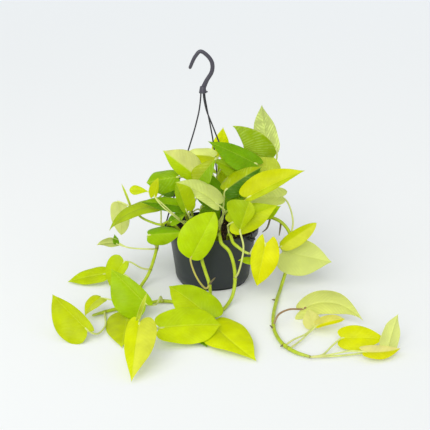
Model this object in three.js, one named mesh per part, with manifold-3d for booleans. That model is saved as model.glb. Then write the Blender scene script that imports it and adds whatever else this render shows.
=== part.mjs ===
// A golden pothos in a round hanging pot, standing on its base with its stems trailing over the surface.
// Millimetres, +Z up. The origin is the middle of the pot's base and the front of the plant faces -Y.
import * as THREE from "three";
import { mergeVertices } from "three/addons/utils/BufferGeometryUtils.js";
import Module from "manifold-3d";

const wasm = await Module();
wasm.setup();

// The pot: a thin moulded bowl with a turned-out rim band, a rounded lower corner and a short foot.
const RIM_RADIUS = 75;
const POT_HEIGHT = 92;
const RIM_BAND = 10;
const BODY_TOP_RADIUS = 70;
const SHOULDER_RADIUS = 61;
const SHOULDER_HEIGHT = 17;
const FOOT_RADIUS = 55;
const FOOT_HEIGHT = 3;
const WALL = 1.8;
const RIM_ROUND = 0.8;
const CORNER_STEPS = 4;
const POT_SIDES = 36;
const DRAIN_RADIUS = 4;
const DRAIN_CIRCLE = 30;
const DRAIN_COUNT = 6;

// Three ears on the rim take the hanger strands. Their angles are in degrees from +X.
const EARS = { back: 80, left: 200, right: 320 };
const EAR_CIRCLE = 80.5;
const EAR_RADIUS = 6;
const EAR_TOP = 89;
const EAR_THICKNESS = 3;
const EAR_SIDES = 12;
const EAR_HOLE_RADIUS = 1.8;
const HOLE_SIDES = 8;

// The hanger: a moulded hook whose collar grips three thin strands.
const STRAND_RADIUS = 1.15;
const STRAND_SIDES = 5;
const STRAND_STEP = 15;
const STRAND_DROP = 4;
const STRAND_LANDING = 9;
const STRAND_TAIL = 3;
const KNOB_RADIUS = 2.6;
const KNOB_HEIGHT = 2;
const KNOB_SIDES = 6;
const HOOK_HALF_WIDTH = 3.3;
const HOOK_HALF_DEPTH = 2.6;
const HOOK_SIDES = 8;
const HOOK_STEP = 7;
const COLLAR_RADIUS = 6;
const COLLAR_NECK_RADIUS = 4.4;
const COLLAR_SKIRT = 2;
const COLLAR_SIDES = 12;
const COLLAR_TOP = 321;
const COLLAR_BOTTOM = 310.5;
const COLLAR_X = -15;
// The strands' angles in the collar, in degrees from +X.
const SOCKETS = { back: 25, left: 195, right: 290 };
const SOCKET_CIRCLE = 3.3;
const SOCKET_RADIUS = 2.1;
const SOCKET_DEPTH = 5;

// The growing mix stands a little below the rim.
const SOIL_TOP = 80;
const SOIL_RELIEF = 0.9;
const SOIL_WAVES = [7, 6, 19];
const SOIL_SIDES = 24;
const SOIL_RINGS = [54, 36, 18];
const SOIL_EDGE_DROP = 2;
const SEAT_GAP = 0.3;
const FACET_ALLOWANCE = 0.2;
const ROOT_DEPTH = 16;
const ROOT_HOLE_SIDES = 6;
const HOLE_CLEARANCE = 1;

// Blades, leaf stalks and stems.
const BLADE_THICKNESS = 1;
const STALK_RADIUS = 1.55;
const STALK_SIDES = 4;
const STALK_STEP = 24;
const STALK_END = 0.07;
const STALK_RISE = 0.4;
const STALK_RUN_IN = 0.35;
const THIN_STALK_SHARE = 0.55;
const FULL_STALK_BLADE = 45;
const STEM_SIDES = 6;
const STEM_STEP = 20;

const POT_COLOUR = "#2f3438";
const SOIL_COLOUR = "#3a2a1e";
const HOOK_COLOUR = "#4a4750";
const STRAND_COLOUR = "#2b2a2e";
const LEAF_COLOUR = "#9cc414";

// The stems and leaves are laid out from one viewpoint in front of the plant. A point is given by its column
// and row in a 430 by 430 view, with how near it is in front of the pot's axis or how high above the floor.
const VIEWPOINT = new THREE.Vector3(0, -1650, 660);
const VIEW_TARGET = new THREE.Vector3(4, 0, 110);
const VIEW_CENTRE = 215;
const VIEW_FOCAL = 1075;
const FORWARD = VIEW_TARGET.clone().sub(VIEWPOINT).normalize();
const RIGHTWARD = FORWARD.clone().cross(new THREE.Vector3(0, 0, 1)).normalize();
const UPWARD = RIGHTWARD.clone().cross(FORWARD);

const radians = THREE.MathUtils.degToRad;
const at = (x, y, z) => new THREE.Vector3(x, y, z);

function sightLine(column, row) {
  return FORWARD.clone()
    .addScaledVector(RIGHTWARD, (column - VIEW_CENTRE) / VIEW_FOCAL)
    .addScaledVector(UPWARD, (VIEW_CENTRE - row) / VIEW_FOCAL);
}

function near(column, row, distance) {
  const line = sightLine(column, row);
  return line.multiplyScalar((-distance - VIEWPOINT.y) / line.y).add(VIEWPOINT);
}

function above(column, row, height) {
  const line = sightLine(column, row);
  return line.multiplyScalar((height - VIEWPOINT.z) / line.z).add(VIEWPOINT);
}

// Solids: closed geometries in, joined or cut, and back to a geometry.
function solid(geometry) {
  const bare = geometry.clone();
  bare.deleteAttribute("normal");
  bare.deleteAttribute("uv");
  const merged = mergeVertices(bare, 1e-4);
  return new wasm.Manifold(
    new wasm.Mesh({
      numProp: 3,
      vertProperties: new Float32Array(merged.attributes.position.array),
      triVerts: new Uint32Array(merged.index.array),
    }),
  );
}

function geometryOf(body) {
  const mesh = body.getMesh();
  const geometry = new THREE.BufferGeometry();
  geometry.setAttribute("position", new THREE.BufferAttribute(new Float32Array(mesh.vertProperties), 3));
  geometry.setIndex(new THREE.BufferAttribute(new Uint32Array(mesh.triVerts), 1));
  geometry.computeVertexNormals();
  return geometry;
}

function joined(bodies) {
  return bodies.reduce((whole, body) => whole.add(body));
}

// Leaves that meet can close a small hollow between them. Only the outer skin of a body is kept.
function withoutHollows(body) {
  const mesh = body.getMesh();
  const parents = Array.from({ length: mesh.vertProperties.length / 3 }, (_, vertex) => vertex);
  const shellOf = (vertex) => {
    while (parents[vertex] !== vertex) vertex = parents[vertex] = parents[parents[vertex]];
    return vertex;
  };
  const corners = mesh.triVerts;
  for (let corner = 0; corner < corners.length; corner += 3) {
    parents[shellOf(corners[corner])] = shellOf(corners[corner + 1]);
    parents[shellOf(corners[corner + 1])] = shellOf(corners[corner + 2]);
  }
  const sizes = new Map();
  for (const vertex of corners) sizes.set(shellOf(vertex), (sizes.get(shellOf(vertex)) ?? 0) + 1);
  const largest = [...sizes].reduce((best, entry) => (entry[1] > best[1] ? entry : best))[0];
  const kept = corners.filter((_, place) => shellOf(corners[place]) === largest);
  const { vertProperties } = mesh;
  return new wasm.Manifold(new wasm.Mesh({ numProp: 3, vertProperties, triVerts: kept }));
}

function meshOf(name, body, color, roughness) {
  const material = new THREE.MeshStandardMaterial({ color, roughness, metalness: 0, flatShading: true });
  const mesh = new THREE.Mesh(geometryOf(body), material);
  mesh.name = name;
  return mesh;
}

const rodSteps = (path, step) => Math.max(3, Math.round(path.getLength() / step));

// A rod along a smooth line through some points, with an oval section.
function rod(points, halfWidth, halfDepth, sides, step) {
  const path = new THREE.CatmullRomCurve3(points);
  const section = new THREE.Shape();
  for (let side = 0; side < sides; side += 1) {
    const angle = (2 * Math.PI * side) / sides;
    const corner = [halfWidth * Math.cos(angle), halfDepth * Math.sin(angle)];
    if (side === 0) section.moveTo(...corner);
    else section.lineTo(...corner);
  }
  const steps = rodSteps(path, step);
  return solid(new THREE.ExtrudeGeometry(section, { steps, extrudePath: path, bevelEnabled: false }));
}

// An upright round bar, turned from a closed profile of [radius, height] pairs.
function turned(profile, sides, x = 0, y = 0) {
  const points = profile.map(([radius, height]) => new THREE.Vector2(radius, height));
  const geometry = new THREE.LatheGeometry(points, sides);
  geometry.rotateX(Math.PI / 2);
  geometry.translate(x, y, 0);
  return solid(geometry);
}

function bar(radius, bottom, top, sides, x, y) {
  return turned([[0, bottom], [radius, bottom], [radius, top], [0, top]], sides, x, y);
}

// The outlines of a blade as [share of the half width, share of the length] from the stalk to the tip: the
// heart of most leaves, one with longer lobes, a broader one, one without lobes, and the wedge of leaves
// whose lobes are turned away.
const HEART = [[0, 0], [0.24, -0.08], [0.58, -0.09], [0.88, 0.03], [1, 0.23], [0.96, 0.42], [0.78, 0.6],
  [0.45, 0.78], [0.14, 0.92], [0, 1]];
const ARROW = [[0, 0], [0.2, -0.1], [0.4, -0.2], [0.7, -0.09], [0.93, 0.1], [1, 0.3], [0.9, 0.5],
  [0.56, 0.74], [0.2, 0.91], [0, 1]];
const BROAD = [[0, 0], [0.2, -0.06], [0.5, -0.07], [0.78, 0.04], [0.96, 0.28], [1, 0.5], [0.9, 0.7],
  [0.56, 0.84], [0.18, 0.94], [0, 1]];
const EGG = [[0, 0], [0.34, 0.02], [0.68, 0.08], [0.92, 0.22], [1, 0.4], [0.92, 0.6], [0.7, 0.78],
  [0.4, 0.91], [0.13, 0.98], [0, 1]];
const WEDGE = [[0, 0], [0.3, 0.16], [0.62, 0.34], [0.9, 0.54], [1, 0.72], [0.8, 0.86], [0.42, 0.95],
  [0.14, 0.985], [0, 1]];
const BLADE_ROWS = [0, 0.18, 0.38, 0.6, 0.82, 1];
const BLADE_COLUMNS = [-1, -0.5, 0, 0.5, 1];
const SMALL_BLADE_ROWS = [0, 0.2, 0.46, 0.76, 1];
const SMALL_BLADE_COLUMNS = [-1, 0, 1];
const SMALL_BLADE_WIDTH = 37;
const MIDRIB_PACE = 2.2;
const RIPPLES = 9;

// A leaf: where its stalk meets the blade, its tip, the way its upper face looks, and its width. bend arches
// the midrib over the chord, fold lifts (or, below zero, drops) both halves from the midrib, curl turns them
// on towards the edge, all in degrees. wave ripples the edge, skew makes one half wider and sway carries the
// midrib to that side, in millimetres. from is the place on the stem that the stalk grows from, and via what
// the stalk passes on its way.
const PLAIN_LEAF = { bend: 30, fold: 18, curl: -38, wave: 0.06, skew: 0, sway: 0, outline: HEART };

function leaf(base, tip, face, width, extras = {}) {
  return { base, tip, face, width, from: base, via: null, ...PLAIN_LEAF, ...extras };
}

function bladeAxes({ base, tip, face }) {
  const along = tip.clone().sub(base).normalize();
  const upper = face.clone().addScaledVector(along, -face.dot(along)).normalize();
  return { along, upper, across: along.clone().cross(upper) };
}

// The point of a blade at a distance along the midrib, a signed share of the half width to the side and a
// lift off the middle of its thickness. The midrib is a circular arc over the chord. Across it, the slope
// grows evenly from the fold at the midrib.
function bladePoint(blade, distance, share, lift) {
  const { along, upper, across } = bladeAxes(blade);
  const length = blade.base.distanceTo(blade.tip);
  const progress = distance / length;
  const arc = radians(Math.abs(blade.bend) < 1 ? 1 : blade.bend);
  const radius = length / (2 * Math.sin(arc / 2));
  const turn = arc * (progress - 0.5);
  const side = Math.sign(share);
  const half = (blade.width / 2) * (1 + blade.skew * side);
  const rate = radians(Math.abs(blade.curl) < 1 ? 1 : blade.curl) / half;
  const start = radians(blade.fold);
  const slope = start + rate * half * Math.abs(share);
  const sideways = (side * (Math.sin(slope) - Math.sin(start))) / rate;
  const ripple = blade.wave * half * share * share * Math.sin(RIPPLES * progress + side);
  const rise = (Math.cos(start) - Math.cos(slope)) / rate + ripple;
  const leaning = share === 0 ? 0 : -side * Math.sin(slope);
  const outward = rise + lift * (share === 0 ? 1 : Math.cos(slope));
  return blade.base
    .clone()
    .addScaledVector(along, radius * (Math.sin(arc / 2) + Math.sin(turn)) + outward * Math.sin(turn))
    .addScaledVector(upper, radius * (Math.cos(turn) - Math.cos(arc / 2)) + outward * Math.cos(turn))
    .addScaledVector(across, sideways + lift * leaning + blade.sway * 4 * progress * (1 - progress));
}

// The two faces of a blade are split alike into rows from the stalk to the tip and joined round the edge.
function bladeSolid(blade) {
  const edge = new THREE.SplineCurve(blade.outline.map((pair) => new THREE.Vector2(...pair)));
  const length = blade.base.distanceTo(blade.tip);
  const small = blade.width < SMALL_BLADE_WIDTH;
  const bladeRows = small ? SMALL_BLADE_ROWS : BLADE_ROWS;
  const bladeColumns = small ? SMALL_BLADE_COLUMNS : BLADE_COLUMNS;
  const positions = [];
  const rows = [];
  for (const row of bladeRows) {
    const rim = edge.getPoint(row);
    const pointed = row === 0 || row === 1;
    const columns = pointed ? [0] : bladeColumns;
    rows.push(
      columns.map((column) => {
        const share = Math.abs(column);
        const distance = length * ((1 - share) * row ** MIDRIB_PACE + share * rim.y);
        for (const lift of [BLADE_THICKNESS / 2, -BLADE_THICKNESS / 2]) {
          positions.push(...bladePoint(blade, distance, column * rim.x, lift).toArray());
        }
        return positions.length / 6 - 1;
      }),
    );
  }
  const index = [];
  const twoFaced = (a, b, c) => index.push(2 * a, 2 * b, 2 * c, 2 * c + 1, 2 * b + 1, 2 * a + 1);
  const rimFace = (a, b) => index.push(2 * a, 2 * a + 1, 2 * b + 1, 2 * a, 2 * b + 1, 2 * b);
  for (let row = 0; row + 1 < rows.length; row += 1) {
    const [low, high] = [rows[row], rows[row + 1]];
    const last = bladeColumns.length - 1;
    for (let column = 0; column < last; column += 1) {
      if (low.length === 1) twoFaced(low[0], high[column + 1], high[column]);
      else if (high.length === 1) twoFaced(low[column], low[column + 1], high[0]);
      else if (column < last / 2) {
        twoFaced(low[column], low[column + 1], high[column + 1]);
        twoFaced(low[column], high[column + 1], high[column]);
      } else {
        twoFaced(low[column], low[column + 1], high[column]);
        twoFaced(low[column + 1], high[column + 1], high[column]);
      }
    }
    rimFace(low.at(-1), high.at(-1));
    rimFace(high[0], low[0]);
  }
  const geometry = new THREE.BufferGeometry();
  geometry.setAttribute("position", new THREE.Float32BufferAttribute(positions, 3));
  geometry.setIndex(index);
  return solid(geometry);
}

// A stalk leaves the stem upwards, comes in along the blade's midrib and ends inside the blade. The stalks
// of small leaves are thinner.
function stalkSolid(blade, stemPoints) {
  const distance = (point) => point.distanceTo(blade.from);
  const start = stemPoints.reduce((best, point) => (distance(point) < distance(best) ? point : best));
  const { along } = bladeAxes(blade);
  const length = blade.base.distanceTo(blade.tip);
  const span = start.distanceTo(blade.base);
  const rising = start.clone().add(at(0, 0, STALK_RISE * span));
  const arriving = blade.base.clone().addScaledVector(along, -STALK_RUN_IN * span);
  const arc = new THREE.CubicBezierCurve3(start, rising, arriving, blade.base);
  const middle = blade.via ?? [arc.getPoint(1 / 3), arc.getPoint(2 / 3)];
  const end = bladePoint(blade, STALK_END * length, 0, -BLADE_THICKNESS / 2);
  const grown = Math.min(1, blade.width / FULL_STALK_BLADE);
  const radius = STALK_RADIUS * THREE.MathUtils.lerp(THIN_STALK_SHARE, 1, grown);
  return rod([start, ...middle, blade.base, end], radius, radius, STALK_SIDES, STALK_STEP);
}

// The stems. root is where a stem stands in the growing mix, route the points that it then passes, and spurs
// are its short side roots.
const ROOT_UPRIGHTS = [-ROOT_DEPTH, -ROOT_DEPTH / 2, 3];
const STEMS = {
  vine_front_right: {
    root: [8, -50],
    radius: 2.8,
    route: [at(9, -59, 96), at(11, -71, 99), at(14, -82, 91), near(229, 251, 86), near(234, 266, 90),
      near(235, 280, 94), near(233, 294, 103), above(228, 304, 5), above(220, 312, 4), above(208, 320, 4),
      above(192, 326, 4), above(176, 331, 4), above(160, 334, 4)],
    leaves: [
      leaf(near(240, 230.7, 97), near(249.8, 201.3, 93), at(0, -0.75, 0.65), 46,
        { outline: WEDGE, skew: -0.43, from: near(235, 278, 94),
          via: [near(238.6, 272, 98), near(243.5, 247, 99)] }),
      leaf(above(211, 317.5, 18), near(168.8, 286.2, 140), at(0.1, -0.75, 0.65), 58,
        { from: above(222, 311, 4) }),
      leaf(above(160.5, 328, 25), above(221, 325, 21), at(0, -0.6, 0.8), 60,
        { outline: BROAD, bend: 20, from: above(160, 334, 4) }),
      leaf(above(213, 324.5, 10), above(256.2, 360.8, 4), at(0.1, -0.3, 0.95), 70,
        { skew: -0.04, sway: 5, bend: 12, from: above(208, 320, 4) }),
      leaf(above(195, 335, 6), above(207, 347, 2.5), at(0, -0.1, 0.95), 24,
        { bend: 8, curl: -8, from: above(190, 327, 4) }),
    ],
  },
  vine_front_left: {
    root: [-12, -52],
    radius: 2.8,
    route: [at(-13, -60, 96), at(-15, -71, 99), at(-18, -82, 91), near(201.5, 258, 86), near(205.5, 272, 89),
      near(209.5, 285, 95), above(209, 298, 5), above(196, 302, 4), above(178, 302, 4), above(162, 301, 4),
      above(148, 303, 4), above(132, 306, 4), above(112, 310, 4), above(92, 315.6, 4)],
    leaves: [
      leaf(near(190.5, 258.8, 97), near(214.8, 212.2, 88), at(0.1, -0.95, 0.3), 56,
        { outline: EGG, skew: -0.25, bend: 25, from: near(209.5, 285, 95),
          via: [near(206, 288.5, 101), near(197, 278, 102)] }),
      leaf(above(146, 304, 27), near(111.2, 269, 150), at(-0.1, -0.85, 0.5), 51,
        { skew: -0.48, bend: 20, from: above(162, 301, 4) }),
      leaf(above(87.5, 330, 18), above(52.4, 294.3, 54), at(-0.2, -0.8, 0.6), 46,
        { skew: -0.48, bend: 20, from: above(104, 312, 4), via: [above(105, 326, 5), above(96, 334, 9)] }),
      leaf(above(101, 298, 26), above(85, 316, 10), at(-0.3, -0.7, 0.65), 26,
        { bend: 70, from: above(148, 303, 4),
          via: [above(140, 303, 17), above(130, 302, 21), above(113, 300, 25)] }),
    ],
    spurs: [[near(209.5, 284, 97), near(212, 281, 100), near(215.5, 277.3, 102)]],
  },
  vine_left_hanging: {
    root: [-52, -12],
    radius: 2.7,
    route: [at(-60, -14, 95), at(-72, -17, 100), at(-84, -20, 93), near(157, 247, 30), near(153, 262, 30),
      near(148, 275, 30), above(141, 286, 5), above(136, 297, 6), above(135, 304, 10.5), above(135.5, 312, 8),
      above(139, 319, 4)],
    leaves: [
      leaf(near(149, 235, 50), near(183, 232.6, 66), at(0, -0.8, 0.55), 39,
        { fold: -20, bend: 15, from: near(157, 248, 30) }),
      leaf(near(117.5, 242.5, 30), near(96.8, 245, 30), at(0.2, 0.75, 0.6), 27,
        { from: near(156, 249, 30), via: [near(147, 249, 34), near(127, 247.2, 34)] }),
      leaf(near(116.5, 243.5, 32), near(114.5, 234.3, 34), at(0, -0.9, 0.4), 10,
        { from: near(156, 249, 30), via: [near(147, 249, 34), near(127, 247.2, 34)] }),
      leaf(near(124, 262, 42), near(109.5, 286, 46), at(-0.1, -0.8, 0.6), 36,
        { skew: 0.35, from: near(150, 270, 30), via: [near(141.4, 268, 36), near(130, 262, 40)] }),
      leaf(above(128, 314, 4.5), above(121.5, 347.5, 3), at(-0.1, -0.2, 0.95), 50,
        { skew: 0.2, bend: 6, fold: 2, curl: -3, wave: 0.02, from: above(136, 313, 6) }),
      leaf(above(139.5, 322, 50), above(131.4, 381.6, 4), at(0, -0.4, 0.9), 44,
        { skew: -0.22, from: above(139, 318, 4), via: [above(140, 330, 12)] }),
      leaf(above(105, 274, 18), above(67.7, 282, 3), at(0, -0.5, 0.85), 34,
        { bend: 15, from: above(136, 297, 6) }),
      leaf(above(138.5, 321, 50), near(146.8, 292.8, 296), at(-0.3, -0.9, 0.3), 13,
        { bend: -12, fold: 30, curl: 70, wave: 0, from: above(139, 318, 4), via: [above(140, 330, 12)] }),
    ],
  },
  vine_left_reaching: {
    root: [-44, -30],
    radius: 1.9,
    route: [at(-52, -35, 96), near(169.5, 221.5, 40), near(160.6, 224.5, 46), near(150.3, 221.7, 46),
      near(141.7, 217.6, 42), near(136, 212, 38), near(129.6, 204.4, 34)],
    leaves: [
      leaf(near(156, 206, 52), near(109.3, 230.5, 58), at(-0.2, -0.42, 0.9), 33,
        { bend: 70, from: near(160.6, 225, 46) }),
      leaf(near(184, 207, 63), near(140, 202, 72), at(0, -0.7, 0.7), 26,
        { bend: 20, from: near(170, 222, 40), via: [near(180, 218, 52)] }),
      leaf(near(117.5, 201.5, 14), near(121.3, 235, 14), at(0.3, 0.9, 0.2), 34,
        { outline: EGG, from: near(136, 212, 38), via: [near(129, 206, 22)] }),
      leaf(near(129.6, 205, 34), near(121.6, 183.8, 30), at(0.4, -0.8, 0.2), 9,
        { bend: -10, fold: 35, curl: 70, wave: 0 }),
    ],
  },
  vine_right: {
    root: [54, 6],
    radius: 2.8,
    route: [at(58, 3, 98), at(66, -4, 112), near(267.6, 216.4, 15), near(281, 222, 22), near(290, 234, 28),
      near(291.5, 252, 36), near(286, 271, 44), above(281, 287, 6), above(277, 299, 4.5),
      above(273.2, 318, 4.5), above(275, 332, 4.5), above(284, 345, 4.5), above(296.7, 352.6, 4.5),
      above(311, 357, 4.5)],
    leaves: [
      leaf(near(282, 197, 20), near(243, 201, 50), at(0.1, 0.9, 0.2), 38,
        { from: near(290, 236, 28), via: [near(293, 222, 26), near(288, 203, 22)] }),
      leaf(near(283, 252, 46), near(331.8, 262.1, 60), at(0.1, 0.95, -0.1), 64,
        { skew: -0.12, bend: 15, from: near(291.5, 252, 36) }),
      leaf(near(279.8, 247.2, 58), near(316.5, 222.9, 72), at(0, -0.85, 0.5), 27,
        { outline: EGG, skew: 0.2, fold: -12, curl: -15, bend: 20, from: near(291, 242, 32) }),
      leaf(above(302, 309, 21), above(363, 320.5, 12), at(0.1, 0.9, 0.3), 50,
        { sway: 21, bend: 15, from: above(275, 326, 4) }),
      leaf(above(313, 326.5, 9), near(308, 309, 205), at(0.1, 0.8, 0.4), 28,
        { from: above(285.5, 346, 4), via: [above(293, 340, 8), above(305.6, 334, 9)] }),
      leaf(above(318, 325, 14), above(345, 319, 16), at(0, -0.7, 0.7), 24,
        { fold: 25, curl: 50, from: above(290, 349, 4), via: [above(300, 341, 6), above(311, 331, 8)] }),
      leaf(above(342, 338, 15), above(386, 339, 16), at(0, -0.7, 0.7), 38,
        { bend: 15, from: above(311, 357, 4), via: [above(322, 355, 6), above(333, 345, 11)] }),
      leaf(near(387.5, 348.5, 289), near(398, 314.2, 266), at(-0.3, 0.9, 0.2), 36,
        { bend: 10, from: above(311, 357, 4), via: [above(335, 356, 4), above(364, 353, 4)] }),
      leaf(above(365, 352, 13), above(400.5, 348.5, 10), at(0, -0.5, 0.85), 24,
        { sway: 4, bend: 15, from: above(311, 357, 4), via: [above(330, 354.5, 7), above(352, 351, 12)] }),
    ],
    spurs: [[near(270.6, 217, 16), near(267, 228, 26), near(262, 232.5, 34)],
      [near(281, 222, 22), near(280, 230, 24), near(279, 236, 26)],
      [above(277, 300, 4.5), above(271.5, 299.5, 5)], [above(275, 330, 4.5), above(269.5, 325, 8)],
      [above(284, 345, 4.5), above(280, 346.5, 5)]],
  },
  vine_right_front: {
    root: [24, -46],
    radius: 2.6,
    route: [at(25, -56, 95), at(28, -69, 99), at(32, -82, 92), near(238, 247, 92), near(244, 251.5, 95),
      near(250, 254, 97)],
    leaves: [
      leaf(near(232, 222.5, 78), near(277.5, 205.3, 74), at(0.1, -0.9, 0.35), 44,
        { skew: 0.1, bend: 15, from: at(26, -60, 97) }),
      leaf(near(265.5, 243.8, 104), near(256.8, 286, 116), at(-0.15, -0.95, 0.2), 44,
        { outline: ARROW, skew: -0.15, bend: 15, from: near(250, 254, 97) }),
      leaf(near(256, 262, 84), near(238, 260.5, 84), at(0, -0.4, 0.9), 18, { from: near(250, 254, 97) }),
    ],
  },
  vine_back: {
    root: [-14, 60],
    radius: 2.7,
    route: [at(-15, 66, 96), at(-17, 76, 100), at(-19, 87, 91), at(-17, 93, 64), at(-9, 98, 36),
      at(0, 106, 9), at(14, 118, 4), at(32, 130, 4)],
    leaves: [
      leaf(at(-40, 102, 74), at(-54, 114, 32), at(-0.2, 0.9, 0.3), 42, { from: at(-19, 88, 86) }),
      leaf(at(14, 106, 56), at(36, 116, 16), at(0.2, 0.9, 0.4), 40, { from: at(-12, 96, 46) }),
      leaf(at(-14, 124, 20), at(-44, 146, 5), at(-0.2, 0.5, 0.85), 40, { from: at(0, 106, 9) }),
      leaf(at(44, 138, 16), at(68, 160, 4), at(0.2, 0.4, 0.9), 36, { from: at(32, 130, 4) }),
    ],
  },
  shoot_front_centre: {
    root: [12, -34],
    radius: 2.1,
    route: [at(11, -37, 100), at(8, -42, 116)],
    leaves: [
      leaf(near(217, 204, 85), near(175.5, 182.3, 78), at(0.2, -0.6, 0.75), 37,
        { skew: 0.25, from: at(11, -37, 98), bend: 45 }),
      leaf(near(225.7, 190, 69), near(262, 166.8, 58), at(-0.2, -0.75, 0.6), 47,
        { skew: -0.15, fold: -14, from: at(11, -38, 104), via: [near(222, 222, 46), near(223.5, 205, 56)] }),
      leaf(near(227, 211, 52), near(244, 190, 46), at(0, -0.9, 0.4), 31, { from: at(11, -38, 104) }),
    ],
  },
  shoot_left_front: {
    root: [-30, -30],
    radius: 2.1,
    route: [at(-33, -32, 102), at(-38, -36, 122)],
    leaves: [
      leaf(near(186, 210, 95), near(176, 182, 105), at(0, -0.9, 0.4), 28,
        { outline: BROAD, skew: 0.4, from: at(-33, -32, 100) }),
      leaf(near(216, 158.5, 54), near(195.5, 184, 62), at(-0.2, -0.8, 0.5), 35,
        { outline: WEDGE, from: at(-38, -36, 122), via: [at(-26, -40, 150), at(-10, -46, 184)] }),
      leaf(near(148, 191.5, 88), near(129.3, 190, 88), at(-0.1, -0.7, 0.6), 16,
        { outline: WEDGE, from: at(-31, -31, 98), via: [near(173, 213.5, 81), near(160.5, 202, 89)] }),
      leaf(near(154.4, 195.6, 91), near(158.4, 177.5, 89), at(0, -0.9, 0.4), 15,
        { outline: ARROW, skew: -0.4, fold: 10, from: at(-31, -31, 94),
          via: [near(174, 216, 82), near(161, 205, 91)] }),
      leaf(near(171, 222, 62), near(187, 212, 64), at(0, -0.8, 0.6), 18, { from: at(-33, -32, 102) }),
    ],
  },
  shoot_left_back: {
    root: [-38, 14],
    radius: 2.2,
    route: [at(-43, 12, 104), at(-50, 6, 130)],
    leaves: [
      leaf(near(194.5, 174.5, 54), near(162.8, 150.6, 54), at(-0.2, -0.8, 0.5), 47,
        { skew: 0.28, fold: -16, curl: -26, from: at(-45, 10, 112),
          via: [at(-40, -10, 142), at(-34, -32, 166)] }),
      leaf(near(178, 177, 48), near(146.4, 182.8, 56), at(-0.2, -0.8, 0.5), 49,
        { outline: BROAD, fold: -20, from: at(-50, 6, 130) }),
      leaf(near(179, 188, 2), near(156, 192, -4), at(-0.2, -0.7, 0.6), 30, { from: at(-43, 12, 104) }),
    ],
  },
  shoot_back_centre: {
    root: [-6, 20],
    radius: 2.2,
    route: [at(-6, 19, 108), at(-3, 14, 146)],
    leaves: [
      leaf(near(214, 157, 20), near(181.5, 156.7, 21), at(0, -0.45, 0.9), 37.5, { from: at(-5, 17, 130) }),
      leaf(near(219.5, 156, -50), near(223.2, 127.2, -52), at(0, -0.9, 0.3), 29,
        { from: at(-3, 14, 146), via: [at(-9, 22, 165), at(-8, 38, 186)] }),
      leaf(near(257, 164.3, 23), near(208, 141.3, 41), at(0.1, -0.8, 0.6), 41,
        { skew: -0.25, bend: 12, from: at(-4, 15, 138), via: [at(20, 0, 164), at(46, -13, 185)] }),
      leaf(near(214, 198, 2), near(190, 170, 6), at(0, -0.8, 0.6), 48, { from: at(-6, 19, 98) }),
      leaf(near(204, 226, 4), near(220, 196, -4), at(0.1, -0.8, 0.5), 34, { from: at(-6, 20, 90) }),
    ],
  },
  shoot_right_back: {
    root: [28, 28],
    radius: 2.2,
    route: [at(32, 28, 108), at(42, 25, 142)],
    leaves: [
      leaf(near(270, 150.5, -36), near(261.8, 105, -46), at(-0.5, 0.75, 0.3), 47, { from: at(42, 25, 142) }),
      leaf(near(276.8, 151.5, -8), near(232.6, 126, 0), at(0.1, -0.5, 1), 65,
        { outline: BROAD, bend: 82, fold: -40, curl: -22, from: at(38, 26, 128) }),
      leaf(near(273, 176, 5), near(243, 146, 1), at(0.1, -0.75, 0.65), 47, { from: at(32, 28, 108) }),
      leaf(near(238, 212, -27), near(217, 165, -23), at(0.1, -0.8, 0.5), 48, { from: at(28, 28, 92) }),
    ],
  },
  shoot_right: {
    root: [38, -18],
    radius: 2.1,
    route: [at(42, -22, 102), at(48, -28, 118)],
    leaves: [
      leaf(near(248, 197.5, 84), near(304.8, 170.6, 81), at(0, -0.75, 0.65), 36,
        { skew: -0.5, bend: 22, from: at(42, -22, 104), via: [at(44, -42, 124), at(49, -64, 146)] }),
      leaf(near(266, 216, 34), near(281, 206, 40), at(0.1, -0.7, 0.7), 18, { from: at(48, -28, 118) }),
      leaf(near(250, 177, 30), near(213, 160, 34), at(0, -0.85, 0.5), 37.5, { from: at(48, -28, 118) }),
    ],
  },
  shoot_back_left: {
    root: [-32, 42],
    radius: 2.2,
    route: [at(-35, 46, 104), at(-38, 52, 122)],
    leaves: [
      leaf(at(-60, 64, 128), at(-84, 92, 98), at(-0.5, 0.5, 0.7), 46, { from: at(-35, 46, 104) }),
      leaf(at(-40, 76, 138), at(-52, 114, 106), at(-0.2, 0.7, 0.7), 48, { from: at(-38, 52, 122) }),
      leaf(at(-60, 38, 142), at(-90, 56, 120), at(-0.6, 0.2, 0.75), 40, { from: at(-36, 48, 114) }),
    ],
  },
  shoot_back: {
    root: [6, 48],
    radius: 2.2,
    route: [at(6, 54, 106), at(4, 58, 126)],
    leaves: [
      leaf(at(2, 86, 138), at(-8, 130, 110), at(0, 0.7, 0.7), 50, { from: at(4, 58, 126) }),
      leaf(at(40, 90, 122), at(54, 120, 86), at(0.3, 0.7, 0.6), 44, { from: at(6, 54, 106) }),
      leaf(at(-2, 66, 164), at(-26, 90, 182), at(-0.2, 0.5, 0.8), 38, { from: at(5, 57, 120) }),
    ],
  },
  shoot_back_right: {
    root: [38, 36],
    radius: 2.2,
    route: [at(42, 42, 106), at(46, 48, 124)],
    leaves: [
      leaf(at(68, 58, 134), at(98, 84, 104), at(0.5, 0.5, 0.7), 46, { from: at(46, 48, 124) }),
      leaf(at(74, 34, 118), at(98, 44, 96), at(0.6, 0.2, 0.75), 36, { from: at(42, 42, 106) }),
    ],
  },
};

// The places along the middle of a stem that a stalk can grow from: its rings and the quarters between them.
function stemPlaces(points) {
  const path = new THREE.CatmullRomCurve3(points);
  const rings = path.getSpacedPoints(rodSteps(path, STEM_STEP));
  const quarters = [0.25, 0.5, 0.75, 1];
  const between = (start, end) => quarters.map((share) => start.clone().lerp(end, share));
  return rings.slice(1).flatMap((end, index) => between(rings[index], end));
}

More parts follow.
